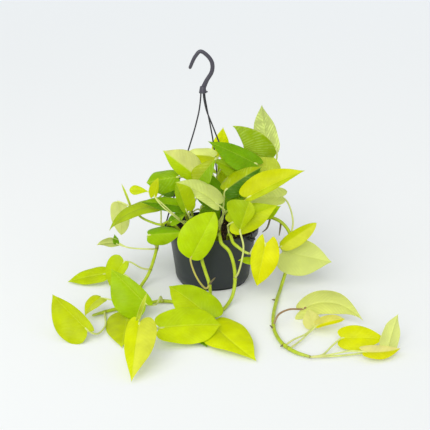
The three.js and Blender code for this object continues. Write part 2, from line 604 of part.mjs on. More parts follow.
function stemParts({ root: [x, y], radius, route, leaves, spurs = [] }) {
  const uprights = ROOT_UPRIGHTS.map((height) => at(x, y, SOIL_TOP + height));
  const points = [...uprights, ...route];
  const places = stemPlaces(points);
  return [
    rod(points, radius, radius, STEM_SIDES, STEM_STEP),
    ...leaves.flatMap((blade) => [bladeSolid(blade), stalkSolid(blade, places)]),
    ...spurs.map((spur) => rod(spur, STALK_RADIUS, STALK_RADIUS, STALK_SIDES, STALK_STEP)),
  ];
}

function ring(count, radius, place) {
  return Array.from({ length: count }, (_, step) => {
    const angle = (2 * Math.PI * step) / count;
    return place(radius * Math.cos(angle), radius * Math.sin(angle));
  });
}

function earPlace(name, radius = EAR_CIRCLE) {
  const angle = radians(EARS[name]);
  return [radius * Math.cos(angle), radius * Math.sin(angle)];
}

// The wall of the pot, moved in by an inset: the rounded lower corner, then the straight side up to a height.
function wallLine(inset, top) {
  const points = Array.from({ length: CORNER_STEPS + 1 }, (_, step) => {
    const angle = ((Math.PI / 2) * step) / CORNER_STEPS;
    return [FOOT_RADIUS + (SHOULDER_RADIUS - FOOT_RADIUS - inset) * Math.sin(angle),
      SHOULDER_HEIGHT - (SHOULDER_HEIGHT - FOOT_HEIGHT - inset) * Math.cos(angle)];
  });
  const slope = (BODY_TOP_RADIUS - SHOULDER_RADIUS) / (POT_HEIGHT - RIM_BAND - SHOULDER_HEIGHT);
  return [...points, [SHOULDER_RADIUS + slope * (top - SHOULDER_HEIGHT) - inset, top]];
}

// The profile runs up the outside from the foot, over the rim band and back down the inside.
function potSolid() {
  const band = POT_HEIGHT - RIM_BAND;
  const profile = [[0, 0], [FOOT_RADIUS, 0], ...wallLine(0, band),
    [RIM_RADIUS - RIM_ROUND, band], [RIM_RADIUS, POT_HEIGHT - RIM_ROUND],
    [RIM_RADIUS - RIM_ROUND, POT_HEIGHT], [RIM_RADIUS - WALL, POT_HEIGHT],
    [RIM_RADIUS - WALL - RIM_ROUND, band + WALL],
    ...wallLine(WALL, band + WALL).reverse(), [0, FOOT_HEIGHT + WALL]];
  const ears = Object.keys(EARS).map((name) => {
    const [x, y] = earPlace(name, EAR_CIRCLE - EAR_RADIUS / 4);
    return bar(EAR_RADIUS, EAR_TOP - EAR_THICKNESS, EAR_TOP, EAR_SIDES, x, y);
  });
  const holes = Object.keys(EARS).map((name) =>
    bar(EAR_HOLE_RADIUS, EAR_TOP - EAR_THICKNESS - 1, EAR_TOP + 1, HOLE_SIDES, ...earPlace(name)));
  const drains = ring(DRAIN_COUNT, DRAIN_CIRCLE, (x, y) =>
    bar(DRAIN_RADIUS, -1, FOOT_HEIGHT + WALL + 1, HOLE_SIDES, x, y));
  const body = turned(profile, POT_SIDES);
  return joined([body, ...ears]).subtract(joined([...holes, ...drains]));
}

// The growing mix fills the pot from its floor, with a crumbly top and a plain hole for each stem.
function soilSolid() {
  const inset = WALL + SEAT_GAP + FACET_ALLOWANCE;
  const profile = [[0, FOOT_HEIGHT + inset], ...wallLine(inset, SOIL_TOP - SOIL_EDGE_DROP),
    ...SOIL_RINGS.map((radius) => [radius, SOIL_TOP]), [0, SOIL_TOP]];
  const geometry = new THREE.LatheGeometry(profile.map((pair) => new THREE.Vector2(...pair)), SOIL_SIDES);
  geometry.rotateX(Math.PI / 2);
  const places = geometry.attributes.position;
  for (let index = 0; index < places.count; index += 1) {
    const [x, y, z] = [places.getX(index), places.getY(index), places.getZ(index)];
    const wave = Math.sin(x / SOIL_WAVES[0]) * Math.cos(y / SOIL_WAVES[1] + x / SOIL_WAVES[2]);
    if (z > SOIL_TOP - 1) places.setZ(index, z + SOIL_RELIEF * wave);
  }
  const holes = Object.values(STEMS).map(({ root: [x, y], radius }) =>
    bar(radius + HOLE_CLEARANCE, SOIL_TOP - ROOT_DEPTH - 1, POT_HEIGHT, ROOT_HOLE_SIDES, x, y));
  return solid(geometry).subtract(joined(holes));
}

// The middle line of the hook above its collar, as columns and rows of the view in the plane of the axis.
const HOOK_LINE = [[203.9, 86.5], [206.8, 80.2], [211.9, 71.3], [211.9, 62.3], [206.3, 54.6], [200.2, 51.4],
  [195.2, 56.5], [189.4, 69]];

function socketPlace(name) {
  const angle = radians(SOCKETS[name]);
  return [COLLAR_X + SOCKET_CIRCLE * Math.cos(angle), SOCKET_CIRCLE * Math.sin(angle)];
}

function hookSolid() {
  const line = HOOK_LINE.map(([column, row]) => near(column, row, 0));
  line.unshift(at(COLLAR_X, 0, (COLLAR_TOP + COLLAR_BOTTOM) / 2));
  const shank = rod(line, HOOK_HALF_WIDTH, HOOK_HALF_DEPTH, HOOK_SIDES, HOOK_STEP);
  const collar = turned([[0, COLLAR_BOTTOM], [COLLAR_RADIUS, COLLAR_BOTTOM],
    [COLLAR_RADIUS, COLLAR_BOTTOM + COLLAR_SKIRT], [COLLAR_NECK_RADIUS, COLLAR_TOP], [0, COLLAR_TOP]],
  COLLAR_SIDES, COLLAR_X);
  const sockets = Object.keys(EARS).map((name) =>
    bar(SOCKET_RADIUS, COLLAR_BOTTOM - 1, COLLAR_BOTTOM + SOCKET_DEPTH, HOLE_SIDES, ...socketPlace(name)));
  return shank.add(collar).subtract(joined(sockets));
}

// A strand runs from its socket in the collar down to its ear, with a knob above and a barb below the hole.
const STRAND_LINES = {
  left: [near(199.2, 110, 1), near(197, 120, 3), near(194.4, 130, 5), near(188, 151, 9), near(178, 184, 18)],
  right: [near(206.4, 110, 2), near(211.5, 123, 5), near(218.7, 141.3, 10), near(232, 175, 25)],
  back: [near(206.8, 108, -6), near(210, 124, -14), near(213, 140.6, -22), near(217.4, 177.6, -48)],
};

function strandSolid(name) {
  const [topX, topY] = socketPlace(name);
  const [x, y] = earPlace(name);
  const line = [at(topX, topY, COLLAR_BOTTOM + SOCKET_DEPTH - 1), at(topX, topY, COLLAR_BOTTOM - STRAND_DROP),
    ...STRAND_LINES[name], at(x, y, EAR_TOP + STRAND_LANDING), at(x, y, EAR_TOP),
    at(x, y, EAR_TOP - EAR_THICKNESS - STRAND_TAIL)];
  const shaft = rod(line, STRAND_RADIUS, STRAND_RADIUS, STRAND_SIDES, STRAND_STEP);
  const knob = (bottom) => bar(KNOB_RADIUS, bottom, bottom + KNOB_HEIGHT, KNOB_SIDES, x, y);
  return joined([shaft, knob(EAR_TOP + SEAT_GAP), knob(EAR_TOP - EAR_THICKNESS - SEAT_GAP - KNOB_HEIGHT)]);
}

const plant = new THREE.Group();
plant.add(meshOf("pot", potSolid(), POT_COLOUR, 0.5));
plant.add(meshOf("soil", soilSolid(), SOIL_COLOUR, 1));
plant.add(meshOf("hook", hookSolid(), HOOK_COLOUR, 0.45));
for (const name of Object.keys(EARS)) {
  plant.add(meshOf(`strand_${name}`, strandSolid(name), STRAND_COLOUR, 0.5));
}
for (const [name, stem] of Object.entries(STEMS)) {
  plant.add(meshOf(name, withoutHollows(joined(stemParts(stem))), LEAF_COLOUR, 0.55));
}

export default plant;
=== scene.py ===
from functools import partial

import bpy
import numpy as np
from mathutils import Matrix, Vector


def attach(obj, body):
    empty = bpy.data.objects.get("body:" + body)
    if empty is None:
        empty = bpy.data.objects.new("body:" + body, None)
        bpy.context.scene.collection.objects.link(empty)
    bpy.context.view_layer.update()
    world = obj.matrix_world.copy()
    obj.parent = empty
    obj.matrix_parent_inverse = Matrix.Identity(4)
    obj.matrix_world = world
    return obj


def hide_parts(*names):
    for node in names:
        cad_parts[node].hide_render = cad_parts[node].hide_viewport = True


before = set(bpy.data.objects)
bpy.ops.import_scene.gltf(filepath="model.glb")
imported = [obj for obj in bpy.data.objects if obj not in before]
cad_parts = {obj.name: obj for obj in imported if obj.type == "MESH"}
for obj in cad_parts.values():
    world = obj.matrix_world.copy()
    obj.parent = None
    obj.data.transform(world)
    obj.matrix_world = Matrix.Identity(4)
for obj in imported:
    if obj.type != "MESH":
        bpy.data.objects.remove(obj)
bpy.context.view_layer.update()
scene = bpy.context.scene
METRE = 0.001


# The view. One camera stands in front of the plant and a little above it, and looks down on the pot. The
# stems and leaves are laid out from the same viewpoint, by the columns and rows of its square picture and
# by how near a point is in front of the pot's axis or how high it is above the surface.
VIEWPOINT = np.array([0.0, -1650.0, 660.0])
VIEW_TARGET = np.array([4.0, 0.0, 110.0])
LENS = 90.0
SENSOR = 36.0
PICTURE = 430

camera_settings = bpy.data.cameras.new("camera")
camera_settings.lens = LENS
camera_settings.sensor_width = SENSOR
camera = bpy.data.objects.new("camera", camera_settings)
camera.location = Vector(VIEWPOINT * METRE)
camera.rotation_euler = Vector(VIEW_TARGET - VIEWPOINT).to_track_quat("-Z", "Y").to_euler()
scene.collection.objects.link(camera)
scene.camera = camera


def unit(vectors):
    """Vectors divided by their length."""
    return vectors / np.linalg.norm(vectors, axis=-1, keepdims=True)


forward = unit(VIEW_TARGET - VIEWPOINT)
rightward = unit(np.cross(forward, (0.0, 0.0, 1.0)))
upward = np.cross(rightward, forward)


def sight_line(column, row):
    """The direction in which the viewpoint sees a place of the picture."""
    focal = PICTURE * LENS / SENSOR
    return forward + rightward * (column - PICTURE / 2) / focal + upward * (PICTURE / 2 - row) / focal


def near(column, row, distance):
    """The point seen there that is a distance in front of the pot's axis."""
    line = sight_line(column, row)
    return VIEWPOINT + line * (-distance - VIEWPOINT[1]) / line[1]


def above(column, row, height):
    """The point seen there that is a height above the surface."""
    line = sight_line(column, row)
    return VIEWPOINT + line * (height - VIEWPOINT[2]) / line[2]


def at(x, y, z):
    """A point by its own place."""
    return np.array([x, y, z], float)


# The studio. A matt white paper floor runs out of sight on all sides. A wide soft lamp stands at the upper
# left, and pale light comes from all round, as in a light tent.
FLOOR_RADIUS = 9000.0
FLOOR_SIDES = 96
KEY_ANGLE = 0.7
KEY_TURN = (0.98, -0.3, 0.0)
KEY_STRENGTH = 1.5
SKY_STRENGTH = 0.66
PANEL_PLACE = (-0.9, -0.9, 1.25)
PANEL_SIZE = 0.8
PANEL_POWER = 4.0


def linear(colour):
    """The linear light values of an sRGB colour written as six hex digits."""
    steps = np.array([int(colour[place:place + 2], 16) / 255 for place in (1, 3, 5)])
    return np.where(steps <= 0.04045, steps / 12.92, ((steps + 0.055) / 1.055) ** 2.4)


def opaque(colour):
    """The linear light values of a colour, with nothing let through."""
    return (*linear(colour), 1)


def add_node(material, kind, inputs=(), out=0, **settings):
    """Adds a shader node and gives one of its outputs. Each input is given a value, or the socket that feeds
    it."""
    made = material.node_tree.nodes.new("ShaderNode" + kind)
    for setting, value in settings.items():
        setattr(made, setting, value)
    for place, value in dict(inputs).items():
        if isinstance(value, bpy.types.NodeSocket):
            material.node_tree.links.new(value, made.inputs[place])
        else:
            made.inputs[place].default_value = value
    return made.outputs[out]


def bare_material(name):
    """A new material that holds only its output node."""
    material = bpy.data.materials.new(name)
    material.use_nodes = True
    for spare in [each for each in material.node_tree.nodes if each.type != "OUTPUT_MATERIAL"]:
        material.node_tree.nodes.remove(spare)
    return material


def finish(material, shader):
    """Joins a shader to the material's output."""
    output = next(each for each in material.node_tree.nodes if each.type == "OUTPUT_MATERIAL")
    material.node_tree.links.new(shader, output.inputs["Surface"])
    return material


def white_paper():
    """Matt backdrop paper: it has no gloss, and it cools a little towards its far edge."""
    material = bare_material("white backdrop paper")
    add = partial(add_node, material)
    distance = add("VectorMath", {0: add("TexCoord", out="Object")}, "Value", operation="LENGTH")
    share = add("MapRange", {"Value": distance, "From Min": 0.4, "From Max": 4.0})
    colour = add("Mix", {0: share, 6: opaque("#f3f3f1"), 7: opaque("#f4f5f5")}, 2, data_type="RGBA")
    return finish(material, add("BsdfDiffuse", {"Color": colour, "Roughness": 0.3}))


turns = np.linspace(0, 2 * np.pi, FLOOR_SIDES, endpoint=False)
floor_edge = np.stack([np.cos(turns), np.sin(turns), 0 * turns], 1) * FLOOR_RADIUS * METRE
floor_mesh = bpy.data.meshes.new("studio_floor")
floor_mesh.from_pydata(floor_edge.tolist(), [], [list(range(FLOOR_SIDES))])
floor_mesh.materials.append(white_paper())
studio_floor = bpy.data.objects.new("studio_floor", floor_mesh)
scene.collection.objects.link(studio_floor)

sky = bpy.data.worlds.new("light tent")
sky.use_nodes = True
sky_light = sky.node_tree.nodes["Background"]
sky_light.inputs["Color"].default_value = opaque("#f2f7fb")
sky_light.inputs["Strength"].default_value = SKY_STRENGTH
scene.world = sky
scene.view_settings.view_transform = "Standard"

key_settings = bpy.data.lights.new("key light", "SUN")
key_settings.energy = KEY_STRENGTH
key_settings.angle = KEY_ANGLE
key_light = bpy.data.objects.new("key light", key_settings)
key_light.rotation_euler = KEY_TURN
scene.collection.objects.link(key_light)

panel_settings = bpy.data.lights.new("soft panel", "AREA")
panel_settings.energy = PANEL_POWER
panel_settings.size = PANEL_SIZE
soft_panel = bpy.data.objects.new("soft panel", panel_settings)
soft_panel.location = PANEL_PLACE
soft_panel.rotation_euler = (-Vector(PANEL_PLACE)).to_track_quat("-Z", "Y").to_euler()
scene.collection.objects.link(soft_panel)


# The pot: a thin bowl moulded in one piece from black polypropylene, with a turned-out rim band, a rounded
# lower corner, a short foot with a groove round it, drain holes in its base, and three eyes on the rim for
# the hanger strands.
RIM_RADIUS = 75.0
POT_HEIGHT = 92.0
RIM_BAND = 10.0
BODY_TOP_RADIUS = 70.0
SHOULDER_RADIUS = 61.0
SHOULDER_HEIGHT = 17.0
FOOT_RADIUS = 55.0
FOOT_HEIGHT = 3.0
FOOT_RING = 1.5
FOOT_GROOVE = 1.2
WALL = 1.8
BAND_LEAN = 0.8
EDGE_ROUND = 0.7
CORNER_STEPS = 12
POT_SIDES = 160
DRAIN_RADIUS = 4.0
DRAIN_CIRCLE = 30.0
DRAIN_COUNT = 6
EYES = {"back": 80.0, "left": 200.0, "right": 320.0}
EYE_CIRCLE = 80.5
EYE_RADIUS = 6.0
EYE_TOP = 89.0
EYE_THICKNESS = 3.0
EYE_HOLE_RADIUS = 1.8


def wall_line(inset, top):
    """The pot's wall moved in by an inset: a quarter of an ellipse, then the straight side up to a height."""
    turn = np.linspace(0, np.pi / 2, CORNER_STEPS)
    radii = FOOT_RADIUS + (SHOULDER_RADIUS - FOOT_RADIUS - inset) * np.sin(turn)
    heights = SHOULDER_HEIGHT - (SHOULDER_HEIGHT - FOOT_HEIGHT - inset) * np.cos(turn)
    slope = (BODY_TOP_RADIUS - SHOULDER_RADIUS) / (POT_HEIGHT - RIM_BAND - SHOULDER_HEIGHT)
    side = [SHOULDER_RADIUS + slope * (top - SHOULDER_HEIGHT) - inset, top]
    return [*zip(radii, heights), side]


def softened(profile, radius):
    """The profile with each corner cut back by a radius, or half its shorter side, and rounded through."""
    corners = np.array(profile, float)
    before = corners[:-2] - corners[1:-1]
    after = corners[2:] - corners[1:-1]
    lengths = np.minimum(np.linalg.norm(before, axis=1), np.linalg.norm(after, axis=1))
    reach = np.minimum(radius, 0.45 * lengths)[:, None]
    first = corners[1:-1] + unit(before) * reach
    last = corners[1:-1] + unit(after) * reach
    middle = (first + last + 2 * corners[1:-1]) / 4
    rounded = np.stack([first, middle, last], 1).reshape(-1, 2)
    return np.concatenate([corners[:1], rounded, corners[-1:]])


def turned(profile, sides, x=0.0, y=0.0):
    """Rings of points: each [radius, height] of a profile carried once round an upright axis."""
    radii, heights = np.array(profile, float).T
    angles = np.linspace(0, 2 * np.pi, sides, endpoint=False)
    rings = radii[:, None, None] * np.stack([np.cos(angles), np.sin(angles), 0 * angles], 1)
    return rings + np.stack([0 * heights + x, 0 * heights + y, heights], 1)[:, None]


def shell(rings, tint=(1, 1, 1), grain=(0, 0, 0), finish_index=0, closed=False):
    """A surface of closed rings of points, capped at both ends unless it closes on itself, with the tint and
    the grain place of each point."""
    count, around = rings.shape[:2]
    numbers = np.arange(count * around).reshape(count, around)
    low = numbers if closed else numbers[:-1]
    high = np.roll(numbers, -1, 0) if closed else numbers[1:]
    quads = np.stack([low, np.roll(low, -1, 1), np.roll(high, -1, 1), high], -1).reshape(-1, 4)
    caps = [] if closed else [numbers[:1, ::-1], numbers[-1:]]
    spread = [np.broadcast_to(np.asarray(each, float), rings.shape).reshape(-1, 3) for each in (tint, grain)]
    return {"points": rings.reshape(-1, 3), "faces": [quads, *caps], "tint": spread[0], "grain": spread[1],
            "finish": finish_index}


def make_piece(name, shells, materials, nodes):
    """One object from several shells, which rides on the frame and stands for the nodes that it replaces."""
    mesh = bpy.data.meshes.new(name)
    starts = np.cumsum([0] + [len(each["points"]) for each in shells])
    groups = [(faces + start, each["finish"]) for each, start in zip(shells, starts)
              for faces in each["faces"]]
    corners = np.concatenate([faces.ravel() for faces, _ in groups])
    totals = np.concatenate([np.full(len(faces), faces.shape[1]) for faces, _ in groups])
    mesh.vertices.add(int(starts[-1]))
    mesh.loops.add(len(corners))
    mesh.polygons.add(len(totals))
    points = np.concatenate([each["points"] for each in shells]) * METRE
    mesh.vertices.foreach_set("co", points.ravel())
    mesh.loops.foreach_set("vertex_index", corners.astype(np.int32))
    mesh.polygons.foreach_set("loop_start", (np.cumsum(totals) - totals).astype(np.int32))
    indices = np.concatenate([np.full(len(faces), place) for faces, place in groups])
    mesh.update(calc_edges=True)
    mesh.polygons.foreach_set("material_index", indices.astype(np.int32))
    tint = mesh.attributes.new("tint", "FLOAT_COLOR", "POINT")
    tints = np.concatenate([each["tint"] for each in shells])
    tint.data.foreach_set("color", np.c_[tints, np.ones(len(tints))].ravel())
    grain = mesh.attributes.new("grain", "FLOAT_VECTOR", "POINT")
    grain.data.foreach_set("vector", np.concatenate([each["grain"] for each in shells]).ravel())
    mesh.shade_smooth()
    for material in materials:
        mesh.materials.append(material)
    piece = bpy.data.objects.new(name, mesh)
    scene.collection.objects.link(piece)
    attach(piece, "root")
    if nodes:
        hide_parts(*nodes)
    return piece


def moulded_plastic(name, colour, roughness, grain_mm, streak):
    """Injection-moulded polypropylene: satin, with a fine spark-eroded grain and faint flow lines that run up
    the wall about 17 mm apart, so highlights are broad and a little uneven."""
    material = bare_material(name)
    add = partial(add_node, material)
    place = add("TexCoord", out="Object")
    flow_place = add("Mapping", {"Vector": place, "Scale": (60, 60, 4)})
    flow = add("TexNoise", {"Vector": flow_place, "Scale": 1.0, "Detail": 2.0})
    dust = add("TexNoise", {"Vector": place, "Scale": 45.0, "Detail": 5.0})
    tone = add("MapRange", {"Value": flow, "To Min": 1 - streak, "To Max": 1 + streak})
    tinted = add("HueSaturation", {"Value": tone, "Color": opaque(colour)})
    gloss = add("MapRange", {"Value": dust, "From Min": 0.3, "From Max": 0.7,
                             "To Min": roughness - 0.06, "To Max": roughness + 0.08})
    spark = add("TexNoise", {"Vector": place, "Scale": 1 / (grain_mm * METRE), "Detail": 2.0})
    bump = add("Bump", {"Height": spark, "Strength": 0.25, "Distance": 0.0002})
    return finish(material, add("BsdfPrincipled", {"Base Color": tinted, "Roughness": gloss, "IOR": 1.49,
                                                   "Normal": bump}))


def cut(piece, cutter_mesh):
    """Cuts the shape of a mesh out of a piece and leaves no modifier on it."""
    cutter = bpy.data.objects.new("cutter", cutter_mesh)
    scene.collection.objects.link(cutter)
    change = piece.modifiers.new("holes", "BOOLEAN")
    change.operation = "DIFFERENCE"
    change.solver = "EXACT"
    change.object = cutter
    bpy.context.view_layer.update()
    evaluated = piece.evaluated_get(bpy.context.evaluated_depsgraph_get())
    result = bpy.data.meshes.new_from_object(evaluated)
    piece.modifiers.remove(change)
    spare = piece.data
    piece.data = result
    bpy.data.meshes.remove(spare)
    bpy.data.objects.remove(cutter)


band = POT_HEIGHT - RIM_BAND
pot_foot = [[0.5, 0], [FOOT_RADIUS, 0], [FOOT_RADIUS, FOOT_RING],
            [FOOT_RADIUS - FOOT_GROOVE, FOOT_RING + 0.3], [FOOT_RADIUS - FOOT_GROOVE, FOOT_HEIGHT - 0.1]]
pot_rim = [[RIM_RADIUS - BAND_LEAN, band], [RIM_RADIUS, POT_HEIGHT - 2.4], [RIM_RADIUS + 0.1, POT_HEIGHT],
           [RIM_RADIUS - WALL, POT_HEIGHT], [RIM_RADIUS - WALL - BAND_LEAN, band + WALL]]
pot_profile = [*pot_foot, *wall_line(0, band), *pot_rim, *wall_line(WALL, band + WALL)[::-1],
               [0.5, FOOT_HEIGHT + WALL]]
eye_bottom = EYE_TOP - EYE_THICKNESS
eye_profile = [[EYE_HOLE_RADIUS, eye_bottom], [EYE_RADIUS - EDGE_ROUND, eye_bottom],
               [EYE_RADIUS, eye_bottom + EDGE_ROUND], [EYE_RADIUS, EYE_TOP - EDGE_ROUND],
               [EYE_RADIUS - EDGE_ROUND, EYE_TOP], [EYE_HOLE_RADIUS + 0.5, EYE_TOP],
               [EYE_HOLE_RADIUS, EYE_TOP - 0.5]]


def eye_place(name):
    """The middle of an eye, as x and y."""
    angle = np.radians(EYES[name])
    return EYE_CIRCLE * np.cos(angle), EYE_CIRCLE * np.sin(angle)


black_polypropylene = moulded_plastic("black polypropylene, moulded", "#2c3134", 0.42, 0.35, 0.08)
pot_shells = [shell(turned(softened(pot_profile, EDGE_ROUND), POT_SIDES))]
for eye in EYES:
    pot_shells.append(shell(turned(eye_profile, 32, *eye_place(eye)), closed=True))
pot = make_piece("pot_bowl", pot_shells, [black_polypropylene], ["pot"])

drain_top = FOOT_HEIGHT + WALL + 1
drain_profile = [[0.2, -1], [DRAIN_RADIUS, -1], [DRAIN_RADIUS, drain_top], [0.2, drain_top]]
drain_angles = 2 * np.pi * np.arange(DRAIN_COUNT) / DRAIN_COUNT
drains = [shell(turned(drain_profile, 24, DRAIN_CIRCLE * np.cos(angle), DRAIN_CIRCLE * np.sin(angle)))
          for angle in drain_angles]
drain_mesh = bpy.data.meshes.new("drains")
drain_starts = np.cumsum([0] + [len(each["points"]) for each in drains])
drain_faces = [face.tolist() for each, start in zip(drains, drain_starts) for faces in each["faces"]
               for face in faces + start]
drain_points = np.concatenate([each["points"] for each in drains]) * METRE
drain_mesh.from_pydata(drain_points.tolist(), [], drain_faces)
cut(pot, drain_mesh)


# The growing mix: moist dark peat with bark chips and a little pale grit. It fills the pot to a little below
# the rim, and the roots of every stem stand in it.
SOIL_TOP = 80.0
SOIL_INSET = WALL + 0.5
SOIL_EDGE_DROP = 2.0
SOIL_SIDES = 220
SOIL_RELIEF = 0.9
LATTICE = 80
CRUMB_COUNT = 1500
CRUMB_REACH = 65.0
CRUMB_RADIUS = 1.9
CLOD_SPACING = 8.0
CLOD_HEIGHT = 0.9
GRAIN_SPACING = 3.0
GRAIN_HEIGHT = 0.5
SOIL_TOP_RADIUS = 66.5
SOIL_TOP_RINGS = 60


def rough(x, y, spacing, seed):
    """Smooth random heights from -1 to 1: a seeded lattice of a spacing, blended between its points."""
    lattice = np.random.default_rng(seed).uniform(-1, 1, (LATTICE, LATTICE))
    across, along = x / spacing + LATTICE / 2, y / spacing + LATTICE / 2
    column, row = np.floor(across).astype(int), np.floor(along).astype(int)
    east, north = across - column, along - row
    east, north = east * east * (3 - 2 * east), north * north * (3 - 2 * north)
    low = lattice[column, row] * (1 - east) + lattice[column + 1, row] * east
    high = lattice[column, row + 1] * (1 - east) + lattice[column + 1, row + 1] * east
    return low * (1 - north) + high * north


def soil_height(x, y):
    """The height of the mix: the even relief of the frame's solid, with clods and grains over it."""
    relief = SOIL_RELIEF * np.sin(x / 7) * np.cos(y / 6 + x / 19)
    clods = CLOD_HEIGHT * rough(x, y, CLOD_SPACING, 3)
    return SOIL_TOP + relief + clods + GRAIN_HEIGHT * rough(x, y, GRAIN_SPACING, 4)


def moist_peat():
    """Damp milled peat: matt, nearly black where its clods lie low and browner where they stand up, as the
    same noise raises its bump, with clods about 4 mm across and fibres about 1 mm."""
    material = bare_material("moist peat and bark")
    add = partial(add_node, material)
    place = add("TexCoord", out="Object")
    clods = add("TexNoise", {"Vector": place, "Scale": 260.0, "Detail": 6.0, "Roughness": 0.7})
    fibres = add("TexNoise", {"Vector": place, "Scale": 900.0, "Detail": 3.0})
    share = add("MapRange", {"Value": clods, "From Min": 0.35, "From Max": 0.7})
    earth = add("Mix", {0: share, 6: opaque("#1c130d"), 7: opaque("#4b3524")}, 2, data_type="RGBA")
    tint = add("Attribute", out="Color", attribute_name="tint")
    tinted = add("Mix", {0: 1.0, 6: earth, 7: tint}, 2, data_type="RGBA", blend_type="MULTIPLY")
    height = add("Math", {0: clods, 1: fibres}, operation="ADD")
    bump = add("Bump", {"Height": height, "Strength": 0.8, "Distance": 0.0012})
    return finish(material, add("BsdfPrincipled", {"Base Color": tinted, "Roughness": 0.93,
                                                   "Specular IOR Level": 0.25, "Normal": bump}))


def crumbs():
    """Twelve-cornered lumps of peat, bark and grit, scattered evenly over the mix and sunk half way in."""
    draws = np.random.default_rng(11)
    golden = (1 + 5 ** 0.5) / 2
    lump = unit(np.array([(0, 1, golden), (0, -1, golden), (0, 1, -golden), (0, -1, -golden), (1, golden, 0),
                          (-1, golden, 0), (1, -golden, 0), (-1, -golden, 0), (golden, 0, 1), (-golden, 0, 1),
                          (golden, 0, -1), (-golden, 0, -1)], float))
    sides = np.array([(0, 1, 8), (0, 8, 4), (0, 4, 5), (0, 5, 9), (0, 9, 1), (1, 6, 8), (8, 6, 10),
                      (8, 10, 4), (4, 10, 2), (4, 2, 5), (5, 2, 11), (5, 11, 9), (9, 11, 7), (9, 7, 1),
                      (1, 7, 6), (3, 6, 7), (3, 7, 11), (3, 11, 2), (3, 2, 10), (3, 10, 6)])
    reach = CRUMB_REACH * np.sqrt(draws.uniform(0, 1, CRUMB_COUNT))
    turn = draws.uniform(0, 2 * np.pi, CRUMB_COUNT)
    x, y = reach * np.cos(turn), reach * np.sin(turn)
    sizes = draws.uniform(0.4, 1.0, CRUMB_COUNT) ** 2 * CRUMB_RADIUS
    stretch = draws.uniform(0.5, 1.4, (CRUMB_COUNT, 1, 3))
    knobbly = draws.uniform(0.75, 1.2, (CRUMB_COUNT, 12, 1))
    middles = np.stack([x, y, soil_height(x, y) + 0.2 * sizes], 1)[:, None]
    points = middles + lump * knobbly * stretch * sizes[:, None, None]
    kind = draws.uniform(0, 1, CRUMB_COUNT)[:, None]
    tints = np.where(kind < 0.8, (1.0, 1.0, 1.0), np.where(kind < 0.95, (2.4, 2.0, 1.7), (9.0, 9.5, 9.5)))
    faces = (sides[None] + 12 * np.arange(CRUMB_COUNT)[:, None, None]).reshape(-1, 3)
    return {"points": points.reshape(-1, 3), "faces": [faces], "tint": np.repeat(tints, 12, 0),
            "grain": np.zeros((12 * CRUMB_COUNT, 3)), "finish": 0}


soil_profile = [[0.3, FOOT_HEIGHT + SOIL_INSET], *wall_line(SOIL_INSET, SOIL_TOP - SOIL_EDGE_DROP),
                *[[radius, SOIL_TOP] for radius in np.linspace(SOIL_TOP_RADIUS, 0.3, SOIL_TOP_RINGS)]]
soil_rings = turned(soil_profile, SOIL_SIDES)
on_top = soil_rings[..., 2] > SOIL_TOP - 0.5
soil_rings[..., 2] = np.where(on_top, soil_height(soil_rings[..., 0], soil_rings[..., 1]), soil_rings[..., 2])
make_piece("growing_mix", [shell(soil_rings), crumbs()], [moist_peat()], ["soil"])


# The hook: one dark grey polypropylene moulding. Its flat shank is drawn out to a blunt tip and flares at the
# bottom into the collar that grips the three strands.
COLLAR_X = -15.0
COLLAR_TOP = 321.0
COLLAR_BOTTOM = 310.5
HOOK_LINE = [(203.9, 86.5), (206.8, 80.2), (211.9, 71.3), (211.9, 62.3), (206.3, 54.6), (200.2, 51.4),
             (195.2, 56.5), (189.4, 69)]
HOOK_HALF_WIDTH = 3.3
HOOK_HALF_DEPTH = 2.6
HOOK_SIDES = 32
HOOK_STEP = 0.9
HOOK_FLARE = 0.9
HOOK_NARROWING = 0.8
CURVE_PARTS = 24
NUB_RADIUS = 1.2


def smooth_line(points, step):
    """Places a step apart along the centripetal Catmull-Rom curve through some points: between two of them it
    is the cubic whose slopes come from their neighbours, weighted by the root of each distance."""
    points = np.array(points, float)
    points = np.concatenate([[2 * points[0] - points[1]], points, [2 * points[-1] - points[-2]]])
    roots = np.sqrt(np.linalg.norm(np.diff(points, axis=0), axis=1))[:, None]
    before, first, last, after = points[:-3], points[1:-2], points[2:-1], points[3:]
    early, own, late = roots[:-2], roots[1:-1], roots[2:]
    leaving = ((first - before) / early - (last - before) / (early + own) + (last - first) / own) * own
    arriving = ((last - first) / own - (after - first) / (own + late) + (after - last) / late) * own
    share = np.linspace(0, 1, CURVE_PARTS, endpoint=False)[None, :, None]
    bends = [3 * (last - first) - 2 * leaving - arriving, 2 * (first - last) + leaving + arriving]
    bent = share * (bends[0][:, None] + share * bends[1][:, None])
    curve = first[:, None] + share * (leaving[:, None] + bent)
    curve = np.concatenate([curve.reshape(-1, 3), points[-2:-1]])
    places = np.concatenate([[0], np.cumsum(np.linalg.norm(np.diff(curve, axis=0), axis=1))])
    wanted = np.linspace(0, places[-1], max(4, int(round(places[-1] / step)) + 1))
    return np.stack([np.interp(wanted, places, axis) for axis in curve.T], 1)


def lengths_along(path):
    """How far each place of a path is from its start."""
    return np.concatenate([[0], np.cumsum(np.linalg.norm(np.diff(path, axis=0), axis=1))])


def carried(path, wide, deep, sides, guide=(0.31, 0.94, 0.12)):
    """Rings round a path: ovals whose half width lies along the guide and half depth across it, turned as
    little as the path allows."""
    heading = unit(np.gradient(path, axis=0))
    levels = []
    level = np.array(guide, float)
    for direction in heading:
        level = unit(level - direction * (level @ direction))
        levels.append(level)
    levels = np.array(levels)
    angles = np.linspace(0, 2 * np.pi, sides, endpoint=False)
    wide = np.reshape(np.broadcast_to(wide, len(path)), (-1, 1, 1)) * np.cos(angles)[:, None]
    deep = np.reshape(np.broadcast_to(deep, len(path)), (-1, 1, 1)) * np.sin(angles)[:, None]
    return path[:, None] + wide * levels[:, None] + deep * np.cross(heading, levels)[:, None]


